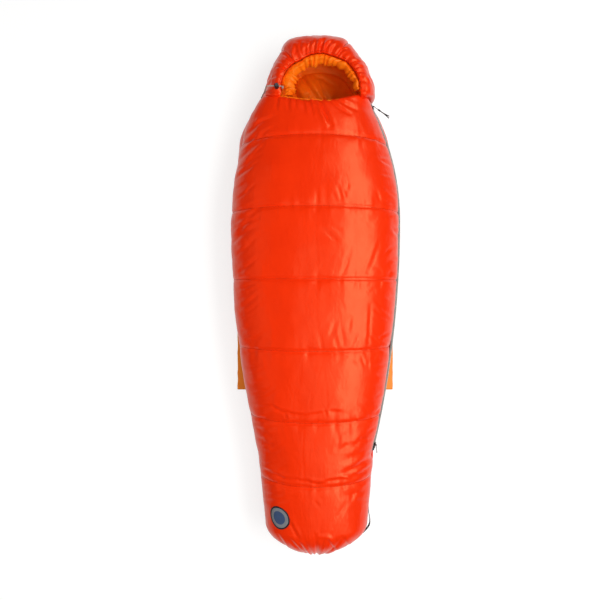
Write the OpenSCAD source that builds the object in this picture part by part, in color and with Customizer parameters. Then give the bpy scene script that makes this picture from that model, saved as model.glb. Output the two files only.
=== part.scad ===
// Mummy sleeping bag lying on its back, foot towards -Y, head towards +Y, up is +Z.
// The bag is a quilted upper half and a quilted lower half joined along one side seam
// and by a two-slider zip on the other side, with a padded hood and a foot panel.
// All sizes are in millimetres.

/* [Outline] */
// Width of the bag at the seam line where the chest is widest
chest_width = 508.8; // [420:0.2:600]
// Station of the widest place, from the middle of the bag
chest_y = 227; // [200:1:250]
// Radius of the seam line from the chest up to the neck
shoulder_radius = 755; // [720:1:900]
// Radius of the seam line from the chest down to the lower end of the zip
side_radius = 3045; // [2600:5:3600]
// Station of the neck, where the hood begins
neck_y = 590; // [570:1:600]
// Station of the lower end of the zip
zip_foot_y = -470; // [-520:1:-430]
// Narrowing of the legs below the zip, per millimetre of length
leg_taper = 0.1; // [0.06:0.002:0.12]
// Station where the foot panel begins
foot_y = -690; // [-710:1:-660]
// Depth of the domed foot panel
foot_length = 95; // [70:1:120]
// Depth of the hood beyond the neck
hood_length = 195; // [170:1:220]

/* [Heights] */
// Height of the crown at the chest
chest_height = 216; // [190:1:240]
// Height of the crown at the neck
neck_height = 184; // [170:1:200]
// Height of the crown at the foot
foot_height = 186; // [160:1:200]
// Height of the seam line
seam_z = 80; // [72:1:88]
// Greatest outward bulge of the lower half at the shoulder
shoulder_swell = 20; // [12:1:24]
// Least outward bulge of the lower half
side_swell = 4; // [2:0.5:6]
// Station where the shoulder bulge begins
swell_y = 380; // [340:5:420]
// Height of the liner floor
liner_z = 40; // [34:1:46]

/* [Quilting] */
// Station of the uppermost quilt seam
first_seam_y = 461; // [440:1:480]
// Length of one full quilt chamber
chamber_length = 207; // [195:1:215]
// Length of the shin chamber
shin_length = 185; // [170:1:200]
// Thickness of the upper quilt at its crown
upper_loft = 50; // [40:1:60]
// Thickness of the quilt walls at the seam line
wall_loft = 40; // [34:1:48]
// Depth of the dip along a quilt seam, outside
seam_dip = 7; // [4:0.5:12]
// Depth of the dip along a quilt seam, inside
liner_dip = 5; // [3:0.5:8]
// Thickness of one fabric layer
fabric = 1; // [0.8:0.1:1.4]
// Space between one layer and the next
layer_gap = 0.3; // [0.2:0.05:0.5]

/* [Hood] */
// Height of the top of the hood wall
hood_height = 180; // [170:1:190]
// Thickness of the hood wall
hood_loft = 42; // [36:1:46]
// Extra half width of the hood over the neck seam
hood_flare = 7; // [5:0.5:12]
// Sideways lean of the hood towards the zip side
hood_lean = 10; // [0:0.5:12]
// Inward tuck of the hood wall at its lower edge
hood_tuck = 22; // [16:0.5:26]
// Overlap of the hood wall over the face rim, outside
rim_lap = 8; // [6:0.5:10]
// Overlap of the hood wall over the face rim, inside
rim_lap_in = 4; // [3:0.5:6]
// Thickness of the hood over the head
hood_roof = 30; // [24:0.5:34]
// Mean radius of the face rim about the middle of the neck
rim_radius = 118; // [112:1:124]
// Sideways shift of the face rim towards the zip side
rim_skew = 11; // [6:0.5:14]
// Mean width of the gathered face edge
ruffle_width = 26; // [20:1:30]
// How much wider the face edge is on the left, and narrower on the right
ruffle_skew = 15; // [8:0.5:16]
// Height of the gathered face edge
ruffle_height = 26; // [20:1:30]

/* [Zip] */
// Tilt of the zip, its face looking outwards and up
zip_tilt = 20; // [10:1:24]
// Half of the opening that the zip closes
zip_half_gap = 9; // [8.6:0.1:10]
// Width of one tape
tape_width = 13; // [12.4:0.1:14]
// Thickness of the tape
tape_thick = 0.8; // [0.6:0.1:1]
// Width of one coil
coil_width = 3.4; // [3:0.1:3.5]
// Height of the coil over the tape
coil_height = 3; // [2.6:0.1:3.2]
// Space between the two coils, where the slider's post runs
coil_split = 1.4; // [1.2:0.1:1.8]
// Length of a slider
slider_length = 18; // [16:0.5:20]
// Running clearance between slider and chain
slider_clear = 0.4; // [0.3:0.05:0.6]
// Radius of the pin that carries the pull
pull_pin_r = 0.9; // [0.8:0.05:1.2]
// Radial clearance of the pull on its pin
pull_clear = 0.08; // [0.05:0.01:0.1]
// Lift of the upper pull away from the chain
pull_lift = 26; // [15:1:40]

/* [Trim] */
// Diameter of the drawcord
cord_d = 3; // [2.4:0.1:3.4]
// Outer radius of the cord lock
lock_r = 6.5; // [6.2:0.1:7.5]
// Height of the cord lock barrel
lock_h = 16; // [15:0.5:18]
// Travel of the cord lock button
button_travel = 3; // [2:0.1:3.2]
// Diameter of the round patch
patch_d = 60; // [50:1:64]
// Length of the pad sleeve along the bag
sleeve_length = 447; // [380:1:480]
// Station of the lower hem of the pad sleeve
sleeve_y = -297; // [-320:1:-270]
// Clear height inside the pad sleeve
sleeve_clear = 6; // [5:0.5:9]
// Width of the sewn flaps that hold the pad sleeve
sleeve_flap = 97; // [70:1:120]
// Width of the hang loop webbing
loop_width = 14; // [10:0.5:18]
// Length of the hang loop along the bag
loop_length = 96; // [80:1:110]
// Stand-off of the hang loop
loop_bow = 9; // [7:0.5:12]

/* [Hidden] */
$fn = 48;

apex_x = chest_width / 2;
// Centres of the two seam arcs, which meet at the widest place
shoulder_cx = apex_x - shoulder_radius;
side_cx = apex_x - side_radius;
zip_foot_half = side_cx + sqrt(pow(side_radius, 2) - pow(zip_foot_y - chest_y, 2));
sleeve_high = sleeve_clear + 2 * fabric;
bag_floor = sleeve_high + layer_gap;
upper_power = 2.3;
lower_power = 4;
upper_steps = 12;
lower_steps = 10;
hood_steps = 15;
hood_rings = 8;

// Small helpers
function hold(t) = max(0, min(1, t));
function ease(t) = let (c = hold(t)) c * c * (3 - 2 * c);
function mix(a, b, t) = a + (b - a) * t;
function towards(p, q, d) = p + (q - p) * (d / norm(q - p));
function side_of(a) = cos(a) > 0.000001 ? 1 : cos(a) < -0.000001 ? -1 : 0;
function super_x(a, p) = side_of(a) * pow(abs(cos(a)), 2 / p);
function super_z(a, p) = pow(max(0, sin(a)), 2 / p);

// Plan of the bag: half width of the seam line at a station
function seam_half(y) =
  y > chest_y ? shoulder_cx + sqrt(pow(shoulder_radius, 2) - pow(y - chest_y, 2))
  : y > zip_foot_y ? side_cx + sqrt(pow(side_radius, 2) - pow(y - chest_y, 2))
  : zip_foot_half - leg_taper * (zip_foot_y - y);
// One along the zip, nothing below it
function zip_here(y) = hold((y - zip_foot_y + 60) / 50);
function crown_z(y) =
  y > chest_y
  ? chest_height - (chest_height - neck_height) * pow((y - chest_y) / (neck_y - chest_y), 2)
  : mix(foot_height, chest_height, ease((y - foot_y) / (chest_y - foot_y)));

// The shells end beside the tapes on the zip side and meet edge to edge on the other
chain_proud = 3;
tape_reach = zip_half_gap * sin(zip_tilt);
// Slant of the seam line in plan, so that the shells keep their distance from the tapes
function seam_slant(y) =
  y > chest_y ? sqrt(1 - pow((y - chest_y) / shoulder_radius, 2))
  : sqrt(1 - pow((max(y, zip_foot_y) - chest_y) / side_radius, 2));
function upper_half(y, s) = seam_half(y)
  + (s > 0 ? mix(chain_proud, -(tape_reach + 1.9) / seam_slant(y), zip_here(y)) : chain_proud);
function lower_half(y, s) = seam_half(y)
  + (s > 0 ? mix(chain_proud, (tape_reach - 0.9) / seam_slant(y), zip_here(y)) : chain_proud);
function upper_edge(y, s) =
  seam_z + (s > 0 ? mix(layer_gap / 2, zip_half_gap, zip_here(y)) : layer_gap / 2);
function lower_edge(y, s) =
  seam_z - (s > 0 ? mix(layer_gap / 2, zip_half_gap, zip_here(y)) : layer_gap / 2);
function shoulder_bulge(y) = mix(side_swell, shoulder_swell, ease((y - swell_y) / (neck_y - swell_y)));
collar_dip = 25;

// Upper quilt: outside, inside, and a layer at a depth under the outside
function upper_out(y, a) =
  let (s = side_of(a), z0 = upper_edge(y, s))
  [
    upper_half(y, s) * super_x(a, upper_power),
    y - collar_dip * pow(sin(a), 6) * ease((y - first_seam_y) / (neck_y - first_seam_y)),
    z0 + (crown_z(y) - z0) * super_z(a, upper_power)
  ];
function upper_in(y, a) =
  let (s = side_of(a), z0 = upper_edge(y, s))
  [
    (upper_half(y, s) - wall_loft) * super_x(a, upper_power),
    y - collar_dip * pow(sin(a), 6) * ease((y - first_seam_y) / (neck_y - first_seam_y)),
    z0 + (crown_z(y) - upper_loft - z0) * super_z(a, upper_power)
  ];
function dip_share(a, q) = (1 - q) * sqrt(max(0, sin(a)));
function upper_skin(y, a, q) = towards(upper_out(y, a), upper_in(y, a), seam_dip * dip_share(a, q));
function upper_face(y, a, q) = towards(upper_in(y, a), upper_out(y, a), liner_dip * dip_share(a, q));
function upper_at(y, a, q, d) =
  d >= 0
  ? towards(upper_skin(y, a, q), upper_face(y, a, q), d)
  : towards(upper_face(y, a, q), upper_skin(y, a, q), -d);

// Lower quilt, a shallow tub that lies flat
function lower_out(y, a) =
  let (s = side_of(a), z0 = lower_edge(y, s))
  [
    lower_half(y, s) * super_x(a, lower_power) + s * shoulder_bulge(y) * pow(sin(2 * a), 2),
    y,
    max(bag_floor, z0 - 1.12 * (z0 - bag_floor) * super_z(a, lower_power))
  ];
function lower_in(y, a) =
  let (s = side_of(a), z0 = lower_edge(y, s))
  [
    (lower_half(y, s) - wall_loft) * super_x(a, lower_power),
    y,
    z0 - (z0 - liner_z) * super_z(a, lower_power)
  ];
function lower_skin(y, a, q) = towards(lower_out(y, a), lower_in(y, a), 3 * dip_share(a, q));
function lower_face(y, a, q) = towards(lower_in(y, a), lower_out(y, a), liner_dip * dip_share(a, q));
function lower_at(y, a, q, d) =
  d >= 0
  ? towards(lower_skin(y, a, q), lower_face(y, a, q), d)
  : towards(lower_face(y, a, q), lower_skin(y, a, q), -d);

// Quilt seams from the foot panel up to the neck
last_seam_y = first_seam_y - 4 * chamber_length - shin_length;
seams = concat(
  [foot_y, last_seam_y],
  [for (k = [4 : -1 : 0]) first_seam_y - k * chamber_length],
  [neck_y]
);
chambers = len(seams) - 1;
fullness = [[0, 0], [0.15, 0.78], [0.5, 1], [0.85, 0.78], [1, 0]];
// Chamber 1 lies at the neck and the last one at the foot
// One more row just below the end of the zip, where the shells begin to close
zip_row_y = zip_foot_y - 8;
function chamber_fullness(i) =
  let (t = (zip_row_y - seams[i]) / (seams[i + 1] - seams[i]))
  [for (j = [0 : len(fullness) - 1]) each
    j > 0 && fullness[j - 1][0] + 0.02 < t && t < fullness[j][0] - 0.02
    ? [[t, lookup(t, fullness)], fullness[j]] : [fullness[j]]];
function chamber_rows(k, gap) =
  let (i = chambers - k, y0 = seams[i] + gap, y1 = seams[i + 1] - gap)
  [for (f = chamber_fullness(i)) [mix(y0, y1, f[0]), f[1]]];
all_rows = concat(
  [for (k = [chambers : -1 : 1]) let (r = chamber_rows(k, 0)) for (i = [0 : len(r) - 2]) r[i]],
  [[neck_y, 0]]
);
function fullness_at(y) =
  let (i = max([for (j = [0 : chambers - 1]) seams[j] <= y ? j : 0]))
  lookup((y - seams[i]) / (seams[i + 1] - seams[i]), fullness);
upper_angles = [for (i = [0 : upper_steps]) 180 * i / upper_steps];
lower_angles = [for (i = [0 : lower_steps]) 180 * i / lower_steps];

// A soft layer between two grids of points
function two(a, b, c, d, turn) =
  turn ? [[a, c, b], [a, d, c]] : [[a, b, c], [a, c, d]];
module layer(outer, inner, turn = false) {
  nr = len(outer);
  nc = len(outer[0]);
  n = nr * nc;
  pts = concat([for (r = outer, p = r) p], [for (r = inner, p = r) p]);
  faces = concat(
    [for (r = [0 : nr - 2], c = [0 : nc - 2], t = two(
      r * nc + c, r * nc + c + 1, (r + 1) * nc + c + 1, (r + 1) * nc + c, turn)) t],
    [for (r = [0 : nr - 2], c = [0 : nc - 2], t = two(
      n + r * nc + c, n + r * nc + c + 1, n + (r + 1) * nc + c + 1, n + (r + 1) * nc + c, !turn)) t],
    [for (c = [0 : nc - 2], t = two(c + 1, c, n + c, n + c + 1, turn)) t],
    [for (c = [0 : nc - 2], t = two(
      n - nc + c, n - nc + c + 1, 2 * n - nc + c + 1, 2 * n - nc + c, turn)) t],
    [for (r = [0 : nr - 2], t = two(
      r * nc, (r + 1) * nc, n + (r + 1) * nc, n + r * nc, turn)) t],
    [for (r = [0 : nr - 2], t = two(
      (r + 2) * nc - 1, (r + 1) * nc - 1, n + (r + 1) * nc - 1, n + (r + 2) * nc - 1, turn)) t]
  );
  polyhedron(pts, faces, convexity = 6);
}

// A tube or lump through closed loops, its two ends closed by flat fans
module loops(rings) {
  nr = len(rings);
  nc = len(rings[0]);
  n = nr * nc;
  mids = [for (r = [rings[0], rings[nr - 1]]) [for (i = [0 : 2]) sum_of([for (p = r) p[i]]) / nc]];
  pts = concat([for (r = rings, p = r) p], mids);
  faces = concat(
    [for (r = [0 : nr - 2], c = [0 : nc - 1], t = two(
      r * nc + c, r * nc + (c + 1) % nc, (r + 1) * nc + (c + 1) % nc, (r + 1) * nc + c, false)) t],
    [for (c = [0 : nc - 1]) [n, (c + 1) % nc, c]],
    [for (c = [0 : nc - 1]) [n + 1, n - nc + c, n - nc + (c + 1) % nc]]
  );
  polyhedron(pts, faces, convexity = 6);
}
function sum_of(v) = [for (i = 0, s = v[0]; i < len(v); i = i + 1, s = i < len(v) ? s + v[i] : s) s][len(v) - 1];

// A round tube along a route
function unit(v) = v / norm(v);
function along(route, i) = unit(route[min(i + 1, len(route) - 1)] - route[max(i - 1, 0)]);
function carry(route, i) =
  i == 0
  ? let (t = along(route, 0), h = abs(t[2]) > 0.8 ? [1, 0, 0] : [0, 0, 1]) unit(h - (h * t) * t)
  : let (p = carry(route, i - 1), t = along(route, i)) unit(p - (p * t) * t);
function ring_on(route, i, r, n) =
  let (t = along(route, i), u = carry(route, i), v = cross(t, u))
  [for (k = [0 : n - 1]) route[i] + r * (cos(360 * k / n) * u - sin(360 * k / n) * v)];
module tube(route, r, n = 8) {
  loops([for (i = [0 : len(route) - 1]) ring_on(route, i, r, n)]);
}
// A smooth route through chosen points
function spline_at(p, i, t) =
  let (
    a = p[max(i - 1, 0)],
    b = p[i],
    c = p[i + 1],
    d = p[min(i + 2, len(p) - 1)]
  )
  0.5 * (2 * b + (c - a) * t + (2 * a - 5 * b + 4 * c - d) * t * t
    + (3 * b - a - 3 * c + d) * t * t * t);
function spline(p, n) = concat(
  [for (i = [0 : len(p) - 2], k = [0 : n - 1]) spline_at(p, i, k / n)],
  [p[len(p) - 1]]
);

// Quilted halves
module upper_layer(rows, d0, d1) {
  layer(
    [for (r = rows) [for (a = upper_angles) upper_at(r[0], a, r[1], d0)]],
    [for (r = rows) [for (a = upper_angles) upper_at(r[0], a, r[1], d1)]]
  );
}
module lower_layer(rows, d0, d1) {
  layer(
    [for (r = rows) [for (a = lower_angles) lower_at(r[0], a, r[1], d0)]],
    [for (r = rows) [for (a = lower_angles) lower_at(r[0], a, r[1], d1)]],
    true
  );
}
skin_room = fabric + layer_gap;
module upper_shell() {
  color("orangered") upper_layer(all_rows, 0, fabric);
}
module upper_fill(k) {
  color("white") upper_layer(chamber_rows(k, layer_gap), skin_room, -skin_room);
}
module upper_liner() {
  color("orange") upper_layer(all_rows, -fabric, -0.0001);
}
// Folded strip that closes the quilt at the collar
module collar_binding() {
  function lifted(d, dy) = [for (a = upper_angles) upper_at(neck_y, a, 0, d) + [0, dy, 0]];
  color("darkorange") layer(
    [lifted(0, skin_room), lifted(-0.0001, skin_room)],
    [lifted(0, layer_gap), lifted(-0.0001, layer_gap)]
  );
}
module lower_shell() {
  color("orangered") lower_layer(all_rows, 0, fabric);
}
module lower_fill(k) {
  color("white") lower_layer(chamber_rows(k, layer_gap), skin_room, -skin_room);
}
module lower_liner() {
  color("orange") lower_layer(all_rows, -fabric, -0.0001);
}

// Domed foot panel: loops of the bag's section drawn in towards the toe
foot_mid_z = seam_z + 8;
foot_loop_steps = [0, 0.32, 0.6, 0.82, 0.95];
function foot_section(d) = concat(
  [for (a = upper_angles) upper_at(foot_y, a, 0, d)],
  [for (i = [lower_steps - 1 : -1 : 1]) lower_at(foot_y, 180 * i / lower_steps, 0, d)]
);
function foot_draw(s) = pow(1 - pow(s, 1.75), 1 / 1.75);
function foot_loop(d, s) =
  [for (p = foot_section(d)) [
    p[0] * foot_draw(s),
    foot_y - layer_gap - (foot_length - layer_gap - d) * s,
    foot_mid_z + (p[2] - foot_mid_z) * foot_draw(s)
  ]];
module foot_shell() {
  outer = [for (s = foot_loop_steps) foot_loop(0, s)];
  inner = [for (s = foot_loop_steps) foot_loop(fabric, s)];
  nr = len(outer);
  nc = len(outer[0]);
  n = nr * nc;
  tip = [0, foot_y - foot_length, foot_mid_z];
  pts = concat(
    [for (r = outer, p = r) p],
    [for (r = inner, p = r) p],
    [tip, tip + [0, fabric, 0]]
  );
  faces = concat(
    [for (r = [0 : nr - 2], c = [0 : nc - 1], t = two(r * nc + c, r * nc + (c + 1) % nc,
      (r + 1) * nc + (c + 1) % nc, (r + 1) * nc + c, true)) t],
    [for (r = [0 : nr - 2], c = [0 : nc - 1], t = two(n + r * nc + c, n + r * nc + (c + 1) % nc,
      n + (r + 1) * nc + (c + 1) % nc, n + (r + 1) * nc + c, false)) t],
    [for (c = [0 : nc - 1]) [2 * n, n - nc + (c + 1) % nc, n - nc + c]],
    [for (c = [0 : nc - 1]) [2 * n + 1, 2 * n - nc + c, 2 * n - nc + (c + 1) % nc]],
    [for (c = [0 : nc - 1], t = two(c, (c + 1) % nc, n + (c + 1) % nc, n + c, false)) t]
  );
  color("orangered") polyhedron(pts, faces, convexity = 6);
}
module foot_fill() {
  rings = [for (s = foot_loop_steps) foot_loop(skin_room, s)];
  color("white") mirror_loops(rings, [0, foot_y - foot_length + skin_room, foot_mid_z]);
}
// A lump whose last loop is closed to a point
module mirror_loops(rings, tip) {
  nr = len(rings);
  nc = len(rings[0]);
  n = nr * nc;
  first = [0, rings[0][0][1], foot_mid_z];
  pts = concat([for (r = rings, p = r) p], [first, tip]);
  faces = concat(
    [for (r = [0 : nr - 2], c = [0 : nc - 1], t = two(r * nc + c, r * nc + (c + 1) % nc,
      (r + 1) * nc + (c + 1) % nc, (r + 1) * nc + c, true)) t],
    [for (c = [0 : nc - 1]) [n, c, (c + 1) % nc]],
    [for (c = [0 : nc - 1]) [n + 1, n - nc + (c + 1) % nc, n - nc + c]]
  );
  polyhedron(pts, faces, convexity = 4);
}
module foot_liner() {
  inner = concat(
    [for (a = upper_angles) upper_at(foot_y + 2, a, 0, -0.0001)],
    [for (i = [lower_steps - 1 : -1 : 1]) lower_at(foot_y + 2, 180 * i / lower_steps, 0, -0.0001)]
  );
  outline = [for (p = inner) towards([p[0], p[2]], [0, foot_mid_z], layer_gap + 0.4)];
  color("orange") translate([0, foot_y + fabric, 0]) rotate([90, 0, 0])
    linear_extrude(fabric) polygon(outline);
}

// Hood: a wall round the head, swept about the middle of the neck
hood_y = neck_y + skin_room + layer_gap + 0.1;
hood_mid_z = seam_z + 5;
hood_side_r = seam_half(neck_y) + hood_flare;
hood_top_r = hood_length + neck_y - hood_y;
function hood_r(f) =
  mix(hood_side_r, hood_top_r, ease((min(f, 180 - f) - 36) / 28)) + hood_lean * cos(f) * abs(cos(f));
function rim_r(f) = rim_radius + rim_skew * cos(f);
hood_tilts = [for (i = [0 : hood_rings]) mix(-72, 105, i / hood_rings)];
function hood_out(f, t) =
  let (r = hood_r(f), r0 = rim_r(f) + rim_lap)
  t < 0
  ? [r - hood_tuck * (1 - cos(t)), hood_mid_z + (hood_mid_z - bag_floor + 4) * sin(t)]
  : [r0 + (r - r0) * cos(t), hood_mid_z + (hood_height - hood_mid_z) * sin(t)];
function hood_in(f, t) =
  let (r = hood_r(f) - hood_loft, r0 = min(rim_r(f) + rim_lap_in, r - 3))
  t < 0
  ? [r, hood_mid_z + (hood_mid_z - bag_floor + 4) * sin(t)]
  : [r0 + (r - r0) * cos(t), hood_mid_z + (hood_height - hood_mid_z - hood_roof) * sin(t)];
function hood_turn(f, p) = [p[0] * cos(f), hood_y + p[0] * sin(f), p[1]];
function hood_at(f, t, d) =
  let (o = hood_out(f, t), i = hood_in(f, t))
  hood_turn(f, d >= 0 ? towards(o, i, d) : towards(i, o, -d));
module hood_layer(f0, f1, n, d0, d1) {
  fan = [for (i = [0 : n]) mix(f0, f1, i / n)];
  layer(
    [for (f = fan) [for (t = hood_tilts) hood_at(f, t, d0)]],
    [for (f = fan) [for (t = hood_tilts) hood_at(f, t, d1)]]
  );
}
// The two seams beside the crown panel
crown_from = 60;
crown_to = 120;
seam_turn = 0.1;
third = hood_steps / 3;
module hood_shell_left() {
  color("orangered") hood_layer(crown_to + seam_turn, 180, third, 0, fabric);
}
module hood_shell_crown() {
  color("orangered") hood_layer(crown_from + seam_turn, crown_to - seam_turn, third, 0, fabric);
}
module hood_shell_right() {
  color("orangered") hood_layer(0, crown_from - seam_turn, third, 0, fabric);
}
module hood_fill_left() {
  color("white") hood_layer(crown_to + seam_turn, 180, third, skin_room, -skin_room);
}
module hood_fill_crown() {
  color("white") hood_layer(crown_from + seam_turn, crown_to - seam_turn, third, skin_room, -skin_room);
}
module hood_fill_right() {
  color("white") hood_layer(0, crown_from - seam_turn, third, skin_room, -skin_room);
}
hood_fan = [for (i = [0 : third]) mix(0, crown_from - seam_turn, i / third),
  for (i = [0 : third]) mix(crown_from + seam_turn, crown_to - seam_turn, i / third),
  for (i = [0 : third]) mix(crown_to + seam_turn, 180, i / third)];
module hood_liner() {
  color("orange") layer(
    [for (f = hood_fan) [for (t = hood_tilts) hood_at(f, t, -fabric)]],
    [for (f = hood_fan) [for (t = hood_tilts) hood_at(f, t, -0.0001)]]
  );
}
// Back of the hood, the pad under the head
module hood_back_layer(z0, z1) {
  translate([0, hood_y, z0]) linear_extrude(z1 - z0)
    polygon([for (f = hood_fan) (hood_r(f) - hood_loft - layer_gap) * [cos(f), sin(f)]]);
}
hood_under = hood_out(90, hood_tilts[0])[1] - layer_gap;
module hood_back_shell() {
  color("orangered") translate([0, hood_y, hood_under - fabric]) linear_extrude(fabric)
    polygon([for (f = hood_fan) hood_out(f, hood_tilts[0])[0] * [cos(f), sin(f)]]);
}
module hood_back_fill() {
  color("white") hood_back_layer(hood_under + layer_gap, liner_z - skin_room);
}
module hood_back_liner() {
  color("orange") hood_back_layer(liner_z - fabric, liner_z);
}

// Gathered face edge: a channel along the rim that holds the drawcord
ruffle_from = 3;
ruffle_to = 171;
ruffle_steps = 20;
cord_r = cord_d / 2;
function rim_edge(f) = min(hood_out(f, 105)[0], hood_in(f, 105)[0]);
function ruffle_w(f) = ruffle_width - ruffle_skew * cos(f);
ruffle_z = (hood_out(90, 105)[1] + hood_in(90, 105)[1]) / 2;
function channel_r(f) = rim_edge(f) - layer_gap - 5;
function ruffle_loop(f, pleat) =
  let (w = ruffle_w(f) / 2, m = rim_edge(f) - layer_gap - w)
  [for (k = [0 : 7]) hood_turn(f, [
    m + w * cos(45 * k),
    ruffle_z + ruffle_height / 2 * pleat * sin(45 * k)
  ])];
function channel_loop(f, r) =
  [for (k = [0 : 7]) hood_turn(f, [channel_r(f) + r * cos(45 * k), ruffle_z + r * sin(45 * k)])];
ruffle_fan = [for (i = [0 : ruffle_steps]) mix(ruffle_from, ruffle_to, i / ruffle_steps)];
module face_ruffle() {
  outer = [for (i = [0 : ruffle_steps]) ruffle_loop(ruffle_fan[i], i % 2 == 0 ? 1 : 0.86)];
  inner = [for (f = ruffle_fan) channel_loop(f, cord_r + 0.4)];
  nr = len(outer);
  n = nr * 8;
  pts = concat([for (r = outer, p = r) p], [for (r = inner, p = r) p]);
  faces = concat(
    [for (r = [0 : nr - 2], c = [0 : 7], t = two(r * 8 + c, r * 8 + (c + 1) % 8,
      (r + 1) * 8 + (c + 1) % 8, (r + 1) * 8 + c, false)) t],
    [for (r = [0 : nr - 2], c = [0 : 7], t = two(n + r * 8 + c, n + r * 8 + (c + 1) % 8,
      n + (r + 1) * 8 + (c + 1) % 8, n + (r + 1) * 8 + c, true)) t],
    [for (c = [0 : 7], t = two((c + 1) % 8, c, n + c, n + (c + 1) % 8, false)) t],
    [for (c = [0 : 7], t = two(n - 8 + c, n - 8 + (c + 1) % 8, 2 * n - 8 + (c + 1) % 8,
      2 * n - 8 + c, false)) t]
  );
  color("darkorange") polyhedron(pts, faces, convexity = 8);
}
function channel_at(f) = hood_turn(f, [channel_r(f), ruffle_z]);
module drawcord() {
  color("gray") loops([for (f = ruffle_fan) channel_loop(f, cord_r)]);
}

// Cord lock on the left corner of the hood, standing on the shell
exit_at = channel_at(ruffle_to);
lock_x = -(rim_r(180) + rim_lap);
lock_y = exit_at[1] - 7;
lock_z = hood_height + layer_gap;
lock_cord_z = lock_z + 9;
lock_travel = 12;
// The tail leaves the channel, runs straight through the lock and lies over the shoulder
exit_way = [-sin(ruffle_to), cos(ruffle_to), 0];
tail_turn = 180 - asin((lock_y - hood_y) / hood_r(180));
function tail_on(t, lift) =
  let (
    o = hood_out(tail_turn, t),
    s = unit(hood_out(tail_turn, t + 1) - o)
  )
  hood_turn(tail_turn, o + (cord_r + lift) * [s[1], -s[0]]);
bead_r = 4;
tail_points = [
  exit_at + 0.4 * exit_way,
  exit_at + 4.5 * exit_way + [0, 0, 0.6],
  [exit_at[0] - 2.6, lock_y, exit_at[2] + 7],
  [lock_x + 16, lock_y, lock_cord_z - 7.5],
  [lock_x + 12, lock_y, lock_cord_z - 1.6],
  [lock_x + 7, lock_y, lock_cord_z],
  [lock_x, lock_y, lock_cord_z],
  [lock_x - 10, lock_y, lock_cord_z],
  [lock_x - 20, lock_y, lock_cord_z],
  [lock_x - 30, lock_y, lock_cord_z - 5],
  tail_on(53, 7),
  tail_on(41, 1.6),
  tail_on(28, 1.2),
  tail_on(15, 2.4),
  tail_on(5, bead_r + 0.6 - cord_r)
];
module drawcord_tail() {
  color("gray") tube(spline(tail_points, 2), cord_r);
}
tail_end = tail_points[len(tail_points) - 1];
module cord_end_bead() {
  color("black") translate(tail_end + [0, 0, -7.4]) rotate_extrude()
    polygon([[0, 0], [2.6, 0], [bead_r, 2], [bead_r, 5], [2.6, 7], [0, 7]]);
}
lock_bore_r = lock_r - 1.4;
button_r = lock_bore_r - 0.1;
cord_way_r = cord_r + 0.5;
button_z = 6;
module cord_lock_barrel() {
  color("black") translate([lock_x, lock_y, lock_z]) difference() {
    cylinder(r = lock_r, h = lock_h);
    translate([0, 0, 1.6]) cylinder(r = lock_bore_r, h = lock_h);
    translate([0, 0, 9]) rotate([0, 90, 0]) cylinder(r = cord_way_r, h = 4 * lock_r, center = true);
  }
}
module cord_lock_button() {
  color("dimgray") translate([lock_x, lock_y, lock_z]) difference() {
    translate([0, 0, button_z]) cylinder(r = button_r, h = lock_h + button_travel + 0.8 - button_z);
    hull() {
      translate([0, 0, 9]) rotate([0, 90, 0]) cylinder(r = cord_r + 0.3, h = 4 * lock_r, center = true);
      translate([0, 0, 9.4 + button_travel]) rotate([0, 90, 0])
        cylinder(r = cord_r + 0.3, h = 4 * lock_r, center = true);
    }
  }
}
spring_turns = 3;
spring_wire = 0.35;
spring_from = 1.6 + spring_wire + 0.05;
spring_to = button_z - spring_wire - 0.05;
module cord_lock_spring() {
  route = [for (i = [0 : spring_turns * 10]) [
    3.2 * cos(36 * i),
    3.2 * sin(36 * i),
    mix(spring_from, spring_to, i / (spring_turns * 10))
  ]];
  color("silver") translate([lock_x, lock_y, lock_z]) tube(route, spring_wire, 5);
}

// Zip: profiles in the tilted plane, swept round the two seam arcs
zip_top_turn = asin((neck_y - 4 - chest_y) / shoulder_radius);
zip_foot_turn = asin((zip_foot_y - chest_y) / side_radius);
module zip_sweep(inset_top = 0, inset_foot = 0) {
  translate([shoulder_cx, chest_y, seam_z])
    rotate_extrude(angle = zip_top_turn - inset_top, $fn = 200)
      translate([shoulder_radius, 0]) rotate(zip_tilt) children();
  translate([side_cx, chest_y, seam_z]) rotate([0, 0, zip_foot_turn + inset_foot])
    rotate_extrude(angle = -zip_foot_turn - inset_foot, $fn = 200)
      translate([side_radius, 0]) rotate(zip_tilt) children();
}
tape_from = coil_split / 2 + 0.5;
stop_turn = 3 / shoulder_radius * 180 / PI;
box_turn = 6 / side_radius * 180 / PI;
module tape_profile() {
  translate([-tape_thick / 2, tape_from]) square([tape_thick, tape_width - tape_from]);
}
module coil_profile() {
  translate([tape_thick / 2, coil_split / 2]) intersection() {
    square([coil_height, coil_width]);
    translate([0, coil_width / 2]) scale(1) circle(r = coil_height);
  }
}
module zip_tape_upper() {
  color("dimgray") zip_sweep() tape_profile();
}
module zip_tape_lower() {
  color("dimgray") zip_sweep() mirror([0, 1]) tape_profile();
}
module zip_coil_upper() {
  color("gray") zip_sweep(stop_turn, box_turn) coil_profile();
}
module zip_coil_lower() {
  color("gray") zip_sweep(stop_turn, box_turn) mirror([0, 1]) coil_profile();
}
module zip_top_stops() {
  color("black") translate([shoulder_cx, chest_y, seam_z])
    rotate([0, 0, zip_top_turn - stop_turn]) rotate_extrude(angle = stop_turn, $fn = 200)
      translate([shoulder_radius, 0]) rotate(zip_tilt) {
        translate([tape_thick / 2, tape_from]) square([coil_height, coil_width]);
        translate([tape_thick / 2, -tape_from - coil_width]) square([coil_height, coil_width]);
      }
}
module zip_bottom_stop() {
  color("black") translate([side_cx, chest_y, seam_z])
    rotate([0, 0, zip_foot_turn]) rotate_extrude(angle = box_turn, $fn = 200)
      translate([side_radius, 0]) rotate(zip_tilt)
        translate([tape_thick / 2, -5]) square([coil_height + 0.4, 10]);
}
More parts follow.
